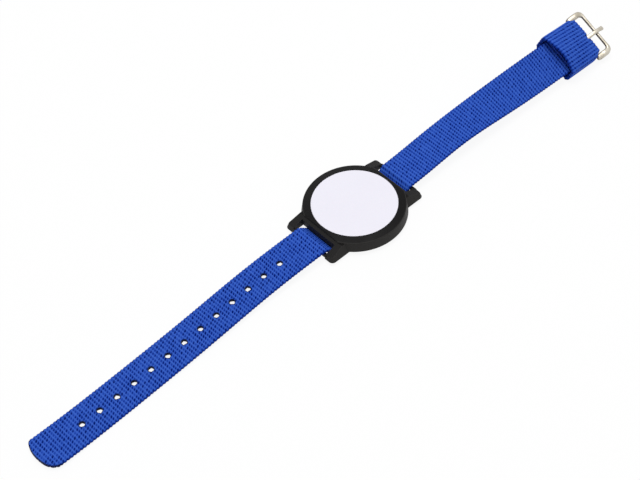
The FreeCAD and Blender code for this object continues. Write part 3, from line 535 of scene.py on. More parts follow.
def new_material(name):
    """A new material, its tree, and the shader of its surface."""
    material = bpy.data.materials.new(name)
    material.use_nodes = True
    tree = material.node_tree
    return material, tree, tree.nodes["Principled BSDF"]


@made_once
def woven_nylon(name, colours):
    """Dyed nylon webbing. Its filaments give a soft sheen; the ramp paints shade into the grooves and a
    highlight on the crests.
    """
    material, tree, surface = new_material(name)
    weave, place, sealed = (add(tree, "ShaderNodeAttribute", {"attribute_name": label}).outputs
                            for label in ("weave", "cloth_place", "sealed"))
    # Filaments 0.2 mm apart, coarser than the real ones so that they show, in stretches of about a rib.
    shrink = add(tree, "ShaderNodeMapping", None, {
        "Vector": place["Vector"], "Scale": (repeats(1.1111), repeats(0.2), 1.0)})
    fibres = add(tree, "ShaderNodeTexNoise", {"noise_dimensions": "3D"}, {
        "Vector": shrink, "Scale": 1.0, "Detail": 3.0})
    # The dye takes a little unevenly, in blotches of about three ribs.
    blotch = add(tree, "ShaderNodeTexNoise", None, {
        "Vector": place["Vector"], "Scale": repeats(3.846), "Detail": 2.0})
    uneven = add(tree, MATH, "MULTIPLY_ADD", (fibres.outputs["Fac"], 0.5, -0.25))
    drift = add(tree, MATH, "MULTIPLY_ADD", (blotch.outputs["Fac"], 0.2, -0.1))
    both = add(tree, MATH, "ADD", (uneven, drift))
    tone = add(tree, MATH, {"operation": "ADD", "use_clamp": True}, (weave["Fac"], both))
    # Painted light: one dye in lit and shaded tones, painted shade in the grooves and a painted highlight on
    # the crests, over the weave's real relief. The weave attribute also carries the painted edge shade.
    yarn = add(tree, "ShaderNodeValToRGB", {"stops": (
        (0.0, colours.yarn_groove_shade), (0.25, colours.yarn_groove_shade), (0.6, colours.yarn_body),
        (1.0, colours.yarn_crest_highlight))}, [tone])
    # Where a hot tool cut the webbing the nylon has melted to a darker, harder rim.
    melt = add(tree, "ShaderNodeMix", {"data_type": "RGBA"}, {
        "Factor": sealed["Fac"], 6: yarn, 7: linear(colours.sealed_rim)})
    feed(tree, surface, {
        "Base Color": melt.outputs[2],
        "Roughness": add(tree, MATH, "MULTIPLY_ADD", (sealed["Fac"], -0.2, 0.62)),
        "Specular IOR Level": 0.03,
        "Sheen Weight": 0.05, "Sheen Roughness": 0.45, "Sheen Tint": linear("#7FA4FF"),
        "Normal": add(tree, "ShaderNodeBump", None, {
            "Strength": 0.35, "Distance": 0.05 * MM, "Height": fibres.outputs["Fac"]})})
    return material


@made_once
def sewing_thread(name):
    """Bonded nylon thread: tight round plies with a soft gloss."""
    material, tree, surface = new_material(name)
    plies = add(tree, "ShaderNodeTexWave", {"bands_direction": "DIAGONAL"}, {
        "Vector": add(tree, "ShaderNodeTexCoord").outputs["Object"],
        "Scale": repeats(0.7143), "Distortion": 0.6})
    feed(tree, surface, {
        "Base Color": add(tree, "ShaderNodeValToRGB", {"stops": ((0.0, "#142E9A"), (1.0, "#3A62D0"))},
                          [plies.outputs["Fac"]]),
        "Roughness": 0.5,
        "Normal": add(tree, "ShaderNodeBump", None, {
            "Strength": 0.5, "Distance": 0.04 * MM, "Height": plies.outputs["Fac"]})})
    return material


@made_once
def moulded_plastic(name, code, roughness, grain_size, depth, gloss=0.5, sides=None):
    """Injection-moulded plastic: the mould's fine spark texture dulls the gloss, and handling polishes it in
    spots. Walls and slopes are painted lighter than the level faces, as painted reflected light, when sides
    has a colour."""
    material, tree, surface = new_material(name)
    place = add(tree, "ShaderNodeTexCoord").outputs
    grain = add(tree, "ShaderNodeTexNoise", None, {
        "Vector": place["Object"], "Scale": repeats(grain_size), "Detail": 4.0})
    wear = add(tree, "ShaderNodeTexNoise", None, {
        "Vector": place["Object"], "Scale": repeats(8.333), "Detail": 3.0})
    base = linear(code)
    if sides is not None:
        # Painted light: a face that looks up counts as level up to a tilt of 13 degrees, and as a lighter
        # slope from 28 on.
        upright = add(tree, "ShaderNodeSeparateXYZ", None, [place["Normal"]]).outputs["Z"]
        painted_side_light = add(tree, "ShaderNodeMapRange", None, {
            "Value": upright, "From Min": 0.975, "From Max": 0.88, "To Min": 0.0, "To Max": 1.0})
        base = add(tree, "ShaderNodeMix", {"data_type": "RGBA"}, {
            "Factor": painted_side_light, 6: base, 7: linear(sides)}).outputs[2]
    tint = add(tree, "ShaderNodeMix", {"data_type": "RGBA", "blend_type": "MULTIPLY"}, {
        "Factor": 0.12, 6: base, 7: grain.outputs["Color"]})
    feed(tree, surface, {
        "Base Color": tint.outputs[2],
        "Roughness": add(tree, "ShaderNodeMapRange", None, {
            "Value": wear.outputs["Fac"], "From Min": 0.3, "From Max": 0.7,
            "To Min": roughness - 0.05, "To Max": roughness + 0.07}),
        "Specular IOR Level": gloss,
        "Normal": add(tree, "ShaderNodeBump", None, {
            "Strength": 0.35, "Distance": depth * MM, "Height": grain.outputs["Fac"]})})
    return material


@made_once
def bare_metal(name, bright, dull, roughness, stretch, painted_shade=None):
    """Plated or drawn metal: fine polishing lines, a slightly duller tone where the plating is thin, and
    painted shade on the sides that face down and back."""
    material, tree, surface = new_material(name)
    place = add(tree, "ShaderNodeTexCoord").outputs
    # A stretch below 1 draws the noise out into lines that way.
    lines = add(tree, "ShaderNodeMapping", None, {"Vector": place["Object"], "Scale": stretch})
    scratches = add(tree, "ShaderNodeTexNoise", None, {
        "Vector": lines, "Scale": repeats(1.1111), "Detail": 4.0}).outputs["Fac"]
    patches = add(tree, "ShaderNodeTexNoise", None, {
        "Vector": place["Object"], "Scale": repeats(3.125), "Detail": 2.0}).outputs["Fac"]
    shown = add(tree, "ShaderNodeValToRGB", {"stops": ((0.35, dull), (0.6, bright))}, [patches])
    if painted_shade is not None:
        # The side without painted shade: up, and a little to the front and to -Y.
        lit_side = tuple(unit(BUCKLE_TURN @ np.array([0.4, -0.4, 1.0])))
        facing = add(tree, VECTOR_MATH, "DOT_PRODUCT", (place["Normal"], lit_side))
        low = add(tree, "ShaderNodeMapRange", None, {
            "Value": facing.outputs["Value"], "From Min": 0.0, "From Max": 0.5, "To Min": 0.9, "To Max": 0.0})
        shown = add(tree, "ShaderNodeMix", {"data_type": "RGBA"}, {
            "Factor": low, 6: shown, 7: linear(painted_shade)}).outputs[2]
    feed(tree, surface, {
        "Base Color": shown,
        "Roughness": add(tree, "ShaderNodeMapRange", None, {
            "Value": scratches, "From Min": 0.3, "From Max": 0.7,
            "To Min": roughness - 0.06, "To Max": roughness + 0.1}),
        "Metallic": 1.0,
        "Normal": add(tree, "ShaderNodeBump", None, {
            "Strength": 0.15, "Distance": 0.02 * MM, "Height": scratches})})
    return material


@made_once
def open_foam(name):
    """Polyurethane foam, cut from sheet: open cells 0.4 mm across, matt, and darker in their depth."""
    material, tree, surface = new_material(name)
    place = add(tree, "ShaderNodeTexCoord").outputs["Object"]
    cells = add(tree, "ShaderNodeTexVoronoi", None, {
        "Vector": place, "Scale": repeats(0.4)}).outputs["Distance"]
    feed(tree, surface, {
        "Base Color": add(tree, "ShaderNodeValToRGB", {"stops": ((0.1, "#8C8E92"), (0.7, "#55575B"))},
                          [cells]),
        "Roughness": 0.9,
        "Normal": add(tree, "ShaderNodeBump", None, {
            "Strength": 0.8, "Distance": 0.1 * MM, "Height": cells})})
    return material


# Settings

class WristbandSizes(bpy.types.PropertyGroup):
    """Sizes of the strap and its buckle."""

    webbing_width: FloatProperty(name="Webbing width", description="Across the strap, mm", default=14.4)
    webbing_thickness: FloatProperty(name="Webbing thickness", description="Crest to crest, mm", default=1.2)
    rib_pitch: FloatProperty(name="Rib pitch", description="From rib to rib along the strap, mm", default=1.3)
    rib_height: FloatProperty(name="Rib height", description="From a deep pit to a crest, mm", default=0.34)
    yarns: IntProperty(name="Yarns", description="Side by side across the strap", default=14)
    tail_yarn_share: FloatProperty(
        name="Tail yarn share", description="How far the tail's yarns bridge the grooves between the pits",
        default=0.85, min=0, max=1, subtype="FACTOR")
    buckle_yarn_share: FloatProperty(
        name="Buckle yarn share", description="The same on the buckle half and the keeper",
        default=0.75, min=0, max=1, subtype="FACTOR")
    tail_sharpness: FloatProperty(
        name="Tail sharpness", description="How narrow the tail's crests are", default=3.2)
    buckle_sharpness: FloatProperty(
        name="Buckle side sharpness", description="The same on the buckle half", default=2.0)
    keeper_sharpness: FloatProperty(name="Keeper sharpness", description="The same on the keeper",
                                    default=1.5)
    tail_reach: FloatProperty(
        name="Tail reach", description="From the case's middle to the tip, mm", default=138.0)
    tip_radius: FloatProperty(name="Tip radius", description="Of the arc at the tail's end, mm", default=14.0)
    tip_corner: FloatProperty(name="Tip corner", description="Radius beside that arc, mm", default=3.0)
    tip_near_corner: FloatProperty(name="Tip near corner", description="The same on the -Y side", default=4.8)
    hole_count: IntProperty(name="Holes", description="Punched holes in the tail", default=13)
    hole_pitch: FloatProperty(name="Hole pitch", description="From hole to hole, mm", default=7.13)
    hole_diameter: FloatProperty(name="Hole diameter", description="Of a punched hole, mm", default=1.9)
    tip_to_hole: FloatProperty(
        name="Tip to hole", description="From the tip to the first hole, mm", default=17.75)
    thread_radius: FloatProperty(name="Thread radius", description="Of the sewing thread, mm", default=0.16)
    arm_width: FloatProperty(name="Arm width", description="Of the buckle's arms from above, mm", default=2.2)
    tang_width: FloatProperty(name="Tang width", description="Across the buckle's tang, mm", default=1.5)


class WristbandColours(bpy.types.PropertyGroup):
    """Colours of the finishes, as sRGB hex values."""

    # The crest, body and groove colours are one dye in lit and shaded tones: painted highlight and painted
    # shade.
    yarn_crest_highlight: StringProperty(name="Yarn crest", description="Top of each yarn", default="#3C65C8")
    yarn_body: StringProperty(name="Yarn body", description="Flank of each yarn", default="#1E45AD")
    yarn_groove_shade: StringProperty(name="Yarn groove", description="Between the yarns", default="#021D72")
    sealed_rim: StringProperty(name="Sealed rim", description="Where heat cut the webbing", default="#0A1034")
    case_black: StringProperty(name="Case", description="Moulded case and cover", default="#0B0A0A")
    # Painted light: the walls and sloping lugs are painted lighter than the level top.
    case_side_light: StringProperty(name="Case sides", description="Its walls and sloping lugs", default="#302F2E")
    face_white: StringProperty(name="Face", description="Blank disc", default="#F6F4FF")
    plate_bright: StringProperty(name="Plating", description="Nickel of the buckle", default="#C9C3B6")
    plate_dull: StringProperty(name="Thin plating", description="Duller patches of it", default="#B0A898")
    # Painted shade on the buckle's sides that face down and back.
    painted_shade: StringProperty(name="Painted shade", description="Sides of it that face down", default="#54483C")


# Pieces

def woven(context, name, line, reach, outward, yarn_share, sharpness, even=1, finer=None):
    """Webbing along a line of points, where reach is its width and direction at each.

    The number of ribs is a multiple of even, and finer holds other inputs of the weave.
    """
    sizes = context.scene.wristband_sizes
    base = mesh_object(name + "_line", line, edges=[(i, i + 1) for i in range(len(line) - 1)])
    for label, vectors in (("reach", reach * MM), ("outward", outward)):
        layer = base.data.attributes.new(label, "FLOAT_VECTOR", "POINT")
        layer.data.foreach_set("vector", np.asarray(vectors, np.float32).ravel())
    return made_solid(grown(base, weave_tree("woven_webbing"), {
        "Thickness": sizes.webbing_thickness * MM,
        "Ribs": even * int(round(travelled(line)[-1] / sizes.rib_pitch / even)),
        "Yarns": sizes.yarns,
        "Yarn share": yarn_share,
        "Rib sharpness": sharpness,
        "Rib height": sizes.rib_height * MM,
        "Material": woven_nylon("woven_nylon", context.scene.wristband_colours),
        **(finer or {}),
    }, name))


def woven_strip(context, name, line, across, yarn_share, sharpness):
    """Webbing of the strap's width, lying in the given directions across."""
    reach = across * context.scene.wristband_sizes.webbing_width
    outward = unit(np.cross(unit(np.gradient(line, axis=0)), across))
    return woven(context, name, line, reach, outward, yarn_share, sharpness)


def under_case(side):
    """The strap's line from the middle of the case to the top of a lug bar. side is 1 towards the buckle."""
    low = upright_arc(BEND_CENTRE, WRAP_RADIUS, -90, CLIMB_ANGLE - 90, 9)
    high = upright_arc(LUG_BAR, WRAP_RADIUS, CLIMB_ANGLE + 90, 90, 9)
    flat = np.linspace([0, 0, low[0][2]], low[0], 40)
    climb = np.linspace(low[-1], high[0], 8)
    line = joined([flat, low, climb, high])
    line[:, 0] *= side
    return line


def tail_line(reach):
    """The tail's line under the case, and from the lug bar to the tip. Its places are shares of the reach."""
    shares = [(0.326, -0.4, 2.55), (0.507, -1.4, 1.45), (0.688, -2.4, 0.78), (0.812, -3.05, 0.64),
              (0.906, -3.6, 0.95), (1.0, -4.1, 1.75)]
    inner = under_case(-1)
    # The tail lies a little to one side in its slot.
    inner[:, 1] -= 0.55 * smooth((-inner[:, 0] - 5.0) / 11.0)
    points = [inner[-1]] + [(-share * reach, aside, height) for share, aside, height in shares]
    return inner, course(points, (-1, 0, 0), (-1, -0.04, 0.08), 260)


def tip_waste(sizes, tip, back, across, up):
    """The space outside the tail's round end, and that end's outline. back points from the tip inwards."""
    half = sizes.webbing_width / 2
    radius = sizes.tip_radius
    outline = []
    for sign, corner in ((1, sizes.tip_near_corner), (-1, sizes.tip_corner)):
        corner_y = half - corner
        corner_x = radius - math.sqrt((radius - corner) ** 2 - corner_y ** 2)
        meeting = 180 - math.degrees(math.asin(corner_y / (radius - corner)))
        side = flat_arc(corner_x, corner_y, corner, 90, meeting, 12)
        side += flat_arc(radius, 0, radius, meeting, 180, 20)[1:]
        side = [(x, sign * y) for x, y in side]
        outline += side if sign == 1 else side[-2::-1]
    margin = 4.0
    ring = outline + [(outline[-1][0], -half - margin), (-margin, -half - margin),
                      (-margin, half + margin), (outline[0][0], half + margin)]
    rings = [[tip + back * x + across * y + up * z for x, y in ring] for z in (-margin, margin)]
    shape = np.array([tip + back * x + across * y for x, y in outline])
    return ringed("tip_waste", rings), shape


def mark_sealed(piece, near):
    """Stores how close each point is to a heat-cut edge. near gives distances from it in millimetres."""
    places = np.empty(len(piece.data.vertices) * 3, np.float32)
    piece.data.vertices.foreach_get("co", places)
    distance = near(places.reshape(-1, 3) / MM)
    layer = piece.data.attributes.get("sealed") or piece.data.attributes.new("sealed", "FLOAT", "POINT")
    layer.data.foreach_set("value", smooth(1 - distance / RIM_REACH).astype(np.float32))


class WRISTBAND_OT_tail(bpy.types.Operator):
    """Weaves the tail half of the strap, from the case's middle to the round tip, with its punched holes"""

    bl_idname = "wristband.tail"
    bl_label = "Tail of the strap"

    def execute(self, context):
        sizes = context.scene.wristband_sizes
        inner, outer = tail_line(sizes.tail_reach)
        # The webbing runs on past the tip, which is then cut round.
        spare_length = 1.5
        spare = outer[-1] + unit(outer[-1] - outer[-2]) * spare_length
        line = joined([inner, outer, np.array([outer[-1], spare])])
        across = level_across(line, np.zeros(len(line)))
        piece = woven_strip(
            context, "strap_tail_woven", line, across, sizes.tail_yarn_share, sizes.tail_sharpness)

        travel = travelled(outer)
        heading = unit(np.gradient(outer, axis=0))
        tip_across = unit(np.cross([0, 0, 1], heading[-1]))
        tip_up = np.cross(heading[-1], tip_across)
        waste, tip_shape = tip_waste(sizes, outer[-1], -heading[-1], tip_across, tip_up)
        piece = cut(piece, waste)
        radius = sizes.hole_diameter / 2
        punch_reach = 2.0
        holes = []
        for number in range(sizes.hole_count):
            at = travel[-1] - sizes.tip_to_hole - number * sizes.hole_pitch
            index = int(np.searchsorted(travel, at))
            share = (at - travel[index - 1]) / (travel[index] - travel[index - 1])
            middle = outer[index - 1] + (outer[index] - outer[index - 1]) * share
            axis = np.cross(heading[index], unit(np.cross([0, 0, 1], heading[index])))
            holes.append((middle, axis))
            first = unit(np.cross(axis, [0.3, 1.0, 0.2]))
            ends = (middle - axis * punch_reach, middle + axis * punch_reach)
            rings = round_rings(ends, (radius, radius), first, np.cross(axis, first), 32)
            piece = cut(piece, ringed("punch", rings))

        tip_length = 12

        def near(places):
            distance = np.full(len(places), FAR)
            for middle, axis in holes:
                apart = places - middle
                apart = apart - (apart @ axis)[:, None] * axis
                distance = np.minimum(distance, np.abs(np.linalg.norm(apart, axis=1) - radius))
            close = np.nonzero(places[:, 0] < -sizes.tail_reach + tip_length)[0]
            flat = places[close][:, None, :2] - tip_shape[None, :, :2]
            distance[close] = np.minimum(distance[close], np.linalg.norm(flat, axis=2).min(1))
            return distance

        mark_sealed(piece, near)
        shade(piece, 50)
        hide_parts("strap_tail")
        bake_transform(piece)
        return {"FINISHED"}


def buckle_line():
    """The buckle half of the strap's line, and the directions across it."""
    inner = under_case(1)
    flat_start = to_buckle([FOLD_START, 0, FOLD_MIDDLE])
    points = [inner[-1], (0.390 * BUCKLE_BAR[0], 0.1, 5.4), (0.607 * BUCKLE_BAR[0], -0.8, 6.3), flat_start]
    first = joined([inner, course(points, (1, 0, 0.03), BUCKLE_TURN[:, 0], 200)])
    # Round the bar, then up against the upper layer, and back along it to the fold's end.
    leaves_bar, closing_length, closing_rise = -0.7, 5.0, 1.4
    flat = np.linspace([FOLD_START, 0, FOLD_MIDDLE], [0, 0, FOLD_MIDDLE], 30)
    turn = upright_arc((0, 0, 0), FOLD_MIDDLE, 90, -90, 25)
    below = np.linspace(turn[-1], [leaves_bar, 0, -FOLD_MIDDLE], 3)
    share = np.linspace(0, 1, 16)
    closing = np.stack([leaves_bar - closing_length * share, np.zeros(16),
                        -FOLD_MIDDLE + closing_rise * smooth(share)], 1)
    back = np.linspace(closing[-1], [FOLD_END, 0, closing[-1][2]], 16)
    fold = to_buckle(joined([flat, turn, below, closing, back]))
    # The strap twists from level to the buckle's roll, from a place 42 mm from the case's middle.
    twist_start = 42.0
    roll = BUCKLE_ROLL * smooth((first[:, 0] - twist_start) / (flat_start[0] - twist_start))
    across = np.concatenate([level_across(first, roll), np.repeat(BUCKLE_TURN[:, 1][None], len(fold) - 1, 0)])
    across[len(first) - 1] = BUCKLE_TURN[:, 1]
    return joined([first, fold]), across


class WRISTBAND_OT_buckle_side(bpy.types.Operator):
    """Weaves the buckle half of the strap, which folds round the buckle's bar with a slot for the tang"""

    bl_idname = "wristband.buckle_side"
    bl_label = "Buckle side of the strap"

    def execute(self, context):
        line, across = buckle_line()
        sizes = context.scene.wristband_sizes
        piece = woven_strip(context, "strap_buckle_side_woven", line, across,
                            sizes.buckle_yarn_share, sizes.buckle_sharpness)
        # The slot's half width, its ends behind and past the bar, and the cutter's half height.
        half, behind_bar, past_bar, clear = 1.05, -1.6, 5.0, 2.6
        low, high = TANG_ASIDE - half, TANG_ASIDE + half
        square = ((low, -clear), (high, -clear), (high, clear), (low, clear))
        rings = [to_buckle([(x, y, z) for y, z in square]) for x in (behind_bar, past_bar)]
        piece = cut(piece, ringed("slot", rings))

        def near(places):
            local = (places - BUCKLE_BAR) @ BUCKLE_TURN
            outside = np.maximum(np.abs(local[:, 1] - TANG_ASIDE) - half, 0)
            behind = np.maximum(behind_bar - local[:, 0], 0)
            distance = np.hypot(outside, behind)
            distance[local[:, 0] < behind_bar - 2.4] = FAR
            # Only the fold's lower layer ends, below the upper one's middle.
            end = np.abs(local[:, 0] - FOLD_END) + np.where(local[:, 2] < FOLD_MIDDLE - 0.65, 0.0, FAR)
            return np.minimum(distance, end)

        mark_sealed(piece, near)
        shade(piece, 50)
        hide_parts("strap_buckle_end", "strap_centre")
        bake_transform(piece)
        return {"FINISHED"}


def keeper_outline(half, slack, crown, count):
    """The keeper's middle line across the strap, from the middle of its underside, as (y, z) at even steps.

    half is half the webbing's thickness, slack the room over the fold at the sides, crown the rise above it.
    """
    half_width, corner, low_corner = 8.2, 1.0, 0.9
    floor = KEEPER_FLOOR - half
    shoulder = FOLD_OUTER + slack + half
    half_top = half_width - corner
    radius = (half_top ** 2 + crown ** 2) / (2 * crown)
    opening = math.degrees(math.asin(half_top / radius))
    right = [(0.0, floor), (half_width - low_corner, floor)]
    right += flat_arc(half_width - low_corner, floor + low_corner, low_corner, -90, 0, 9)[1:]
    right += flat_arc(half_width - corner, shoulder - corner, corner, 0, 90, 9)
    right += flat_arc(0, shoulder + crown - radius, radius, 90 - opening, 90, 14)[1:]
    loop = np.array(right + [(-y, z) for y, z in reversed(right[:-1])])
    steps = travelled(loop)
    at = np.linspace(0, steps[-1], count)
    return np.stack([np.interp(at, steps, loop[:, 0]), np.interp(at, steps, loop[:, 1])], 1)


class WRISTBAND_OT_keeper(bpy.types.Operator):
    """Weaves the keeper: a loop of the strap's webbing, arched open at its mouth, sewn down at the buckle"""

    bl_idname = "wristband.keeper"
    bl_label = "Keeper"

    def execute(self, context):
        sizes = context.scene.wristband_sizes
        half = sizes.webbing_thickness / 2
        mouth = keeper_outline(half, 1.6, 2.4, 241)
        end = keeper_outline(half, 0.2, 0.3, 241)
        # The top of the inner end reaches forward between the buckle's arms.
        forward = smooth((end[:, 1] - 2.0) / 0.7) * smooth((7.9 - np.abs(end[:, 0])) / 0.8)
        # A shallow bay in that edge leaves room for the tang to swing up.
        bay = forward * smooth((1.4 - np.abs(end[:, 0] - TANG_ASIDE)) / 0.55)
        far = -1.4 + 1.6 * forward - 0.7 * bay
        # Worn open: the mouth's far shoulder stands up and reaches back along the strap.
        near = -15.8 - 0.8 * smooth((mouth[:, 0] + 1.0) / 8.0)
        mouth[:, 1] += 0.8 * smooth((mouth[:, 0] - 1.0) / 6.0) * smooth((mouth[:, 1] - mouth[0, 1]) / 4.0)
        first = to_buckle(np.column_stack([near, mouth]))
        last = to_buckle(np.column_stack([far, end]))
        line = (first + last) / 2
        reach = last - first
        closed = np.vstack([line[-2], line, line[1]])
        outward = unit(np.cross(reach, unit(closed[2:] - closed[:-2])))
        piece = woven(context, "keeper_woven", line, reach, outward, sizes.buckle_yarn_share,
                      sizes.keeper_sharpness, even=2, finer={"Steps per rib": 7, "Steps per yarn": 6})
        mark_sealed(piece, lambda places: np.full(len(places), FAR))
        shade(piece, 60)
        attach(piece, "buckle_side")
        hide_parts("keeper")
        return {"FINISHED"}


class WRISTBAND_OT_stitching(bpy.types.Operator):
    """Sews the strap's fold shut and the keeper's ends together"""

    bl_idname = "wristband.stitching"
    bl_label = "Stitching"

    def execute(self, context):
        sizes = context.scene.wristband_sizes
        # A stitch's length, the step from one to the next, and the radius of the thread's bends.
        length, pitch, bend = 1.5, 2.1, 0.25
        # Each seam's name, its node, its place along the strap, its stitches, and the top and bottom of each.
        seams = (
            ("fold_seam", "fold_stitching", -13.8, 6, FOLD_OUTER + 0.08, -0.58),
            ("keeper_seam", "keeper_stitching", -11.4, 4, 0.05, KEEPER_FLOOR - 1.2),
        )
        for name, node, x, count, top, bottom in seams:
            start = -(count - 1) * pitch / 2
            near, far = start - length / 2 + bend, start + length / 2 - bend
            high, low = top - bend, bottom + bend
            path = []
            for y, z, first in ((far, high, 0), (near, high, 90), (near, low, 180), (far, low, 270)):
                path += [(x, *point) for point in flat_arc(y, z, bend, first, first + 90, 6)]
            ring = [(i, (i + 1) % len(path)) for i in range(len(path))]
            loop = mesh_object(name + "_loop", to_buckle(path), edges=ring)
            piece = made_solid(grown(loop, stitch_tree("row_of_stitches"), {
                "Count": count,
                "Step": tuple(BUCKLE_TURN[:, 1] * pitch * MM),
                "Thread radius": sizes.thread_radius * MM,
                "Material": sewing_thread("sewing_thread"),
            }, name))
            shade(piece, 60)
            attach(piece, "buckle_side")
            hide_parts(node)
        return {"FINISHED"}


def plated(context, piece):
    """Dresses a part of the buckle in its nickel."""
    colours = context.scene.wristband_colours
    return dress(piece, bare_metal("nickel_plating", colours.plate_bright, colours.plate_dull, 0.42,
                                   (1.0, 0.15, 1.0), colours.painted_shade))


class WRISTBAND_OT_buckle(bpy.types.Operator):
    """Casts the buckle's frame, two lens-shaped arms joined by a thin round front bar, and fits its bar"""

    bl_idname = "wristband.buckle"
    bl_label = "Buckle frame and bar"

    def execute(self, context):
        # The arms' inner faces, the front bar's outer side, and its radius.
        inner_y, front, bar = 7.65, 6.0, 0.64
        arm_width = context.scene.wristband_sizes.arm_width
        outer_y = inner_y + arm_width
        # Side view: circles at the eye, the arm's middle and the front bar, as (x, z, radius).
        circles = np.array([(0.0, 0.0, 1.0), (2.5, 0.45, 1.25), (front - bar, 0.85, bar)])
        # From above: the points of the outer and of the inner outline that lie across from each other.
        outline = []
        for x in (-1.0, -0.98, -0.93, -0.84, -0.7, -0.5, -0.25, 0.0, 0.5, 1.0, 1.5, 2.0, 2.5, 3.0):
            leaf = 0.85 + 0.15 * float(smooth((x + 1.0) / 2.0))
            outline.append(((x, inner_y + arm_width * leaf), (x, inner_y)))
        radius, window_radius = 2.4, 1.0
        window = front - 2 * bar
        outline += zip(flat_arc(front - radius, outer_y - radius, radius, 84, 0, 9),
                       flat_arc(window - window_radius, inner_y - window_radius, window_radius, 84, 0, 9))
        outline += [((front, y), (window, y)) for y in (5.6, 4.0, 2.0, 0.0)]
        outline += [((o[0], -o[1]), (i[0], -i[1])) for o, i in reversed(outline[:-1])]
        stations = []
        for outer, inner in np.array(outline):
            middle = (outer + inner) / 2
            x = middle[0]
            rise = np.interp(x, circles[:, 0], circles[:, 1])
            high = math.sqrt(max(0.0004, 1 - x * x)) if x < 0 else np.interp(x, circles[:, 0], circles[:, 2])
            half = np.linalg.norm(outer - inner) / 2
            side = (outer - inner) / (2 * half)
            # The arms are squarer than the front bar and stand outwards at the bottom.
            arm = float(smooth((abs(middle[1]) - 6.0) / 2.0))
            stations.append((
                to_buckle([x, middle[1], rise]), BUCKLE_TURN @ np.array([side[0], side[1], 0]),
                BUCKLE_TURN[:, 2], half, high, 2.0 + 0.8 * arm, 0.4 * arm * min(1.0, high)))
        piece = plated(context, loft("buckle_frame_cast", stations, 36))
        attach(piece, "buckle")
        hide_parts("buckle_frame")

        # The bar's domed ends stand level with the arms' outer faces.
        reach, dome, radius = inner_y + 1.45, 0.3, 0.65
        angles = np.radians(np.linspace(0, 85, 7))
        ends = [(reach - dome + dome * math.sin(angle), radius * math.cos(angle)) for angle in angles]
        rounds = [(-y, size) for y, size in reversed(ends)] + ends
        rings = round_rings([to_buckle([0, y, 0]) for y, size in rounds], [size for y, size in rounds],
                            BUCKLE_TURN[:, 0], BUCKLE_TURN[:, 2], 24)
        pin = shade(ringed("buckle_bar_drawn", rings), 60)
        dress(pin, bare_metal("drawn_steel", "#C8C8C6", "#A6A5A0", 0.32, (1.0, 0.1, 1.0)))
        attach(pin, "buckle")
        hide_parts("buckle_bar")
        return {"FINISHED"}


class WRISTBAND_OT_tang(bpy.types.Operator):
    """Bends the tang: an eye round the bar, a low hump and a drooping round nose on the front bar"""

    bl_idname = "wristband.tang"
    bl_label = "Tang"

    def execute(self, context):
        wide = context.scene.wristband_sizes.tang_width / 2
        # Side view: round the bar, then along the frame to the nose, as (x, z).
        path = np.array(flat_arc(0, 0, 1.0, -30, -285, 26) + [
            (0.75, 1.1), (1.4, 1.28), (2.2, 1.48), (3.2, 1.74), (4.2, 1.97), (5.1, 2.05), (5.9, 1.9),
            (6.7, 1.68), (7.4, 1.4), (8.0, 1.12), (8.45, 0.94), (8.75, 0.83), (8.93, 0.77), (8.99, 0.75)])
        half_heights = [0.3] * 25 + [
            0.32, 0.38, 0.42, 0.46, 0.475, 0.475, 0.475, 0.47, 0.46, 0.46, 0.47, 0.45, 0.38, 0.22, 0.06]
        half_widths = [wide] * 33 + [wide * share for share in (0.98, 1.02, 1.1, 1.1, 0.9, 0.55, 0.16)]
        stations = []
        headings = unit(np.gradient(path, axis=0))
        for (x, z), along, high, half in zip(path, headings, half_heights, half_widths):
            up = BUCKLE_TURN @ np.array([-along[1], 0, along[0]])
            stations.append((to_buckle([x, TANG_ASIDE, z]), BUCKLE_TURN[:, 1], up, half, high, 3.0, 0.0))
        piece = plated(context, loft("buckle_tang_bent", stations, 28))
        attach(piece, "tang")
        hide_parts("buckle_tang")
        return {"FINISHED"}


class WRISTBAND_OT_case(bpy.types.Operator):
    """Finishes the moulded case, its back cover and the blank face"""

    bl_idname = "wristband.case"
    bl_label = "Case and face"

    def execute(self, context):
        colours = context.scene.wristband_colours
        black, nodes = colours.case_black, frame["nodes"]
        dress(nodes["case_body"], moulded_plastic(
            "black_abs", black, 0.45, 0.12, 0.02, gloss=0.09, sides=colours.case_side_light))
        dress(nodes["back_cover"], moulded_plastic("black_abs_cover", black, 0.5, 0.16, 0.03, gloss=0.09))
        dress(nodes["face_disc"], moulded_plastic("white_pvc", colours.face_white, 0.34, 0.3, 0.008))
        dress(nodes["face_adhesive"], moulded_plastic("acrylic_adhesive", "#D9D5C4", 0.3, 0.4, 0.02))
        return {"FINISHED"}


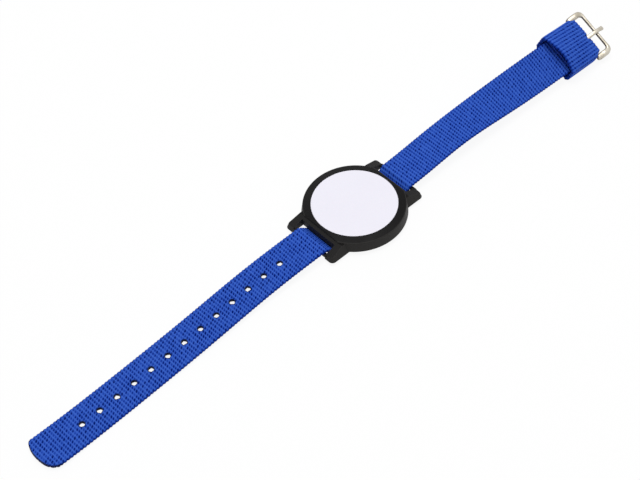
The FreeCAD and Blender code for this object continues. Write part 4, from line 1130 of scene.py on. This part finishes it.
class WRISTBAND_OT_inlay(bpy.types.Operator):
    """Fits the transponder inside the case: carrier, wound coil, leads, chip and the foam pad above them"""

    bl_idname = "wristband.inlay"
    bl_label = "Transponder inlay"

    def execute(self, context):
        nodes = frame["nodes"]
        copper = bare_metal("enamelled_copper", "#C8713A", "#A85526", 0.3, (1.0, 1.0, 1.0))
        low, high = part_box("antenna_coil")
        # The wire's radius, and the width of the band that it is wound in.
        wire, band = 0.08 * MM, 1.6 * MM
        layers = 3
        seed = new_object("winding_seed", bpy.data.meshes.new("winding_seed"))
        coil = made_solid(grown(seed, winding_tree("coil_winding"), {
            "Inner radius": high.x - band + wire,
            "Outer radius": high.x - wire,
            "Turns": 8.0,
            "Layers": layers,
            "First height": low.z + wire,
            "Layer step": (high.z - low.z - 2 * wire) / (layers - 1),
            "Wire radius": wire,
            "Material": copper,
        }, "antenna_winding"), 1e-7)
        shade(coil, 60)
        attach(coil, "case")
        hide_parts("antenna_coil")

        low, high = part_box("foam_pad")
        reach, bottom, top, edge = high.x / MM, low.z / MM, high.z / MM, 0.18
        profile = [(0, bottom)] + flat_arc(reach - edge, bottom + edge, edge, -90, 0, 5)
        profile += flat_arc(reach - edge, top - edge, edge, 0, 90, 5) + [(0, top)]
        rings = round_rings([np.array([0, 0, z]) for radius, z in profile], [radius for radius, z in profile],
                            np.array([1.0, 0, 0]), np.array([0, 1.0, 0]), 96)
        foam = shade(ringed("foam_disc", rings), 60)
        dress(foam, open_foam("open_foam"))
        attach(foam, "case")
        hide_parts("foam_pad")

        dress(nodes["coil_leads"], copper)
        dress(nodes["transponder_carrier"], moulded_plastic("polyester_film", "#D8C79A", 0.28, 0.5, 0.01))
        dress(nodes["chip_module"], bare_metal(
            "tinned_lead_frame", "#C9C6BE", "#A7A296", 0.35, (0.2, 1.0, 1.0)))
        dress(nodes["chip_cap"], moulded_plastic("epoxy_drop", "#17171A", 0.22, 0.2, 0.01))
        return {"FINISHED"}


# Stage

# The photograph's camera, as fitted to the face, the row of holes and the lug bars: its place in metres, the
# directions to its right and back, and its lens in millimetres on a sensor of this width.
CAMERA_PLACE = Vector((-0.234007, -0.260891, 0.405291))
CAMERA_RIGHT = Vector((0.7331, -0.6787, -0.0432))
CAMERA_BACK = Vector((-0.4114, -0.4932, 0.7665))
CAMERA_LENS = 87.564
SENSOR_WIDTH = 36.0
# Each lamp's name, place in metres, size in metres and power in watts. Both point at the case.
LAMPS = (
    ("key", (0.06, 0.02, 1.07), 0.6, 7.0),
    ("back", (0.35, 0.9, 0.5), 0.4, 0.8),
)
# The floor's half side and its gap under the object, in metres.
FLOOR_HALF = 3.0
FLOOR_GAP = 0.00005
# How much of the floor's look is its own white, so that only a trace of shadow stays on it.
FLOOR_GLOW = 0.92
# The room's light on the object, where the background as it is seen has 1.
ROOM_LIGHT = 0.4


def seen_rays(tree):
    """1 for a ray that shows the background: from the camera, in a reflection or through glass."""
    rays = add(tree, "ShaderNodeLightPath").outputs
    mirrored = add(tree, MATH, "MAXIMUM", (rays["Is Glossy Ray"], rays["Is Transmission Ray"]))
    return add(tree, MATH, "MAXIMUM", (rays["Is Camera Ray"], mirrored))


class WRISTBAND_OT_stage(bpy.types.Operator):
    """Sets the floor, the soft lights and the camera at the photograph's angle"""

    bl_idname = "wristband.stage"
    bl_label = "Stage"

    def execute(self, context):
        scene = context.scene
        scene.view_settings.view_transform = "Standard"
        half, level = FLOOR_HALF / MM, (CAD_BOX[0][2] - FLOOR_GAP) / MM
        corners = [(-half, -half, level), (half, -half, level), (half, half, level), (-half, half, level)]
        floor = mesh_object("floor", corners, faces=[(0, 1, 2, 3)])
        # White paper, matt and very slightly mottled.
        material, tree, surface = new_material("pale_paper")
        grain = add(tree, "ShaderNodeTexNoise", None, {
            "Vector": add(tree, "ShaderNodeTexCoord").outputs["Object"],
            "Scale": repeats(1.1111), "Detail": 2.0})
        feed(tree, surface, {
            "Base Color": add(tree, "ShaderNodeValToRGB", {"stops": ((0.3, "#FCFCFC"), (0.7, "#FFFFFF"))},
                              [grain.outputs["Fac"]]),
            "Roughness": 0.9, "Specular IOR Level": 0.1})
        glow = add(tree, "ShaderNodeEmission", None, {"Color": (1, 1, 1, 1), "Strength": 1.0})
        share = add(tree, MATH, "MULTIPLY", (seen_rays(tree), FLOOR_GLOW))
        both = add(tree, "ShaderNodeMixShader", None, (share, surface, glow))
        feed(tree, tree.nodes["Material Output"], {"Surface": both})
        dress(floor, material)

        scene.world = bpy.data.worlds.new("studio")
        scene.world.use_nodes = True
        sky = scene.world.node_tree
        feed(sky, sky.nodes["Background"], {
            "Color": (1, 1, 1, 1), "Strength": add(sky, MATH, "MAXIMUM", (seen_rays(sky), ROOM_LIGHT))})

        for name, place, size, power in LAMPS:
            lamp = bpy.data.lights.new(name, "AREA")
            lamp.size = size
            lamp.energy = power
            stand = new_object(name, lamp)
            stand.location = place
            stand.rotation_euler = (-Vector(place)).to_track_quat("-Z", "Y").to_euler()

        lens = bpy.data.cameras.new("camera")
        lens.sensor_width = SENSOR_WIDTH
        lens.lens = CAMERA_LENS
        lens.clip_end = 20.0
        camera = new_object("camera", lens)
        back = CAMERA_BACK.normalized()
        up = back.cross(CAMERA_RIGHT.normalized()).normalized()
        pose = Matrix((up.cross(back), up, back)).transposed().to_4x4()
        pose.translation = CAMERA_PLACE
        camera.matrix_world = pose
        scene.camera = camera
        return {"FINISHED"}


class WRISTBAND_PT_panel(bpy.types.Panel):
    """Lists the wristband's pieces and settings"""

    bl_label = "Wristband"
    bl_space_type = "VIEW_3D"
    bl_region_type = "UI"
    bl_category = "Wristband"

    def draw(self, context):
        for group in (context.scene.wristband_sizes, context.scene.wristband_colours):
            column = self.layout.column()
            for name in group.__annotations__:
                column.prop(group, name)
        for operator in OPERATORS:
            self.layout.operator(operator.bl_idname)


OPERATORS = (
    WRISTBAND_OT_stage,
    WRISTBAND_OT_case,
    WRISTBAND_OT_inlay,
    WRISTBAND_OT_tail,
    WRISTBAND_OT_buckle_side,
    WRISTBAND_OT_keeper,
    WRISTBAND_OT_stitching,
    WRISTBAND_OT_buckle,
    WRISTBAND_OT_tang,
)
CLASSES = (WristbandSizes, WristbandColours) + OPERATORS + (WRISTBAND_PT_panel,)


def register():
    for item in CLASSES:
        bpy.utils.register_class(item)
    bpy.types.Scene.wristband_sizes = PointerProperty(type=WristbandSizes)
    bpy.types.Scene.wristband_colours = PointerProperty(type=WristbandColours)


def unregister():
    del bpy.types.Scene.wristband_sizes
    del bpy.types.Scene.wristband_colours
    for item in reversed(CLASSES):
        bpy.utils.unregister_class(item)


def main():
    register()
    for operator in OPERATORS:
        group, name = operator.bl_idname.split(".")
        getattr(getattr(bpy.ops, group), name)()
    bpy.context.view_layer.update()


if __name__ == "__main__":
    main()
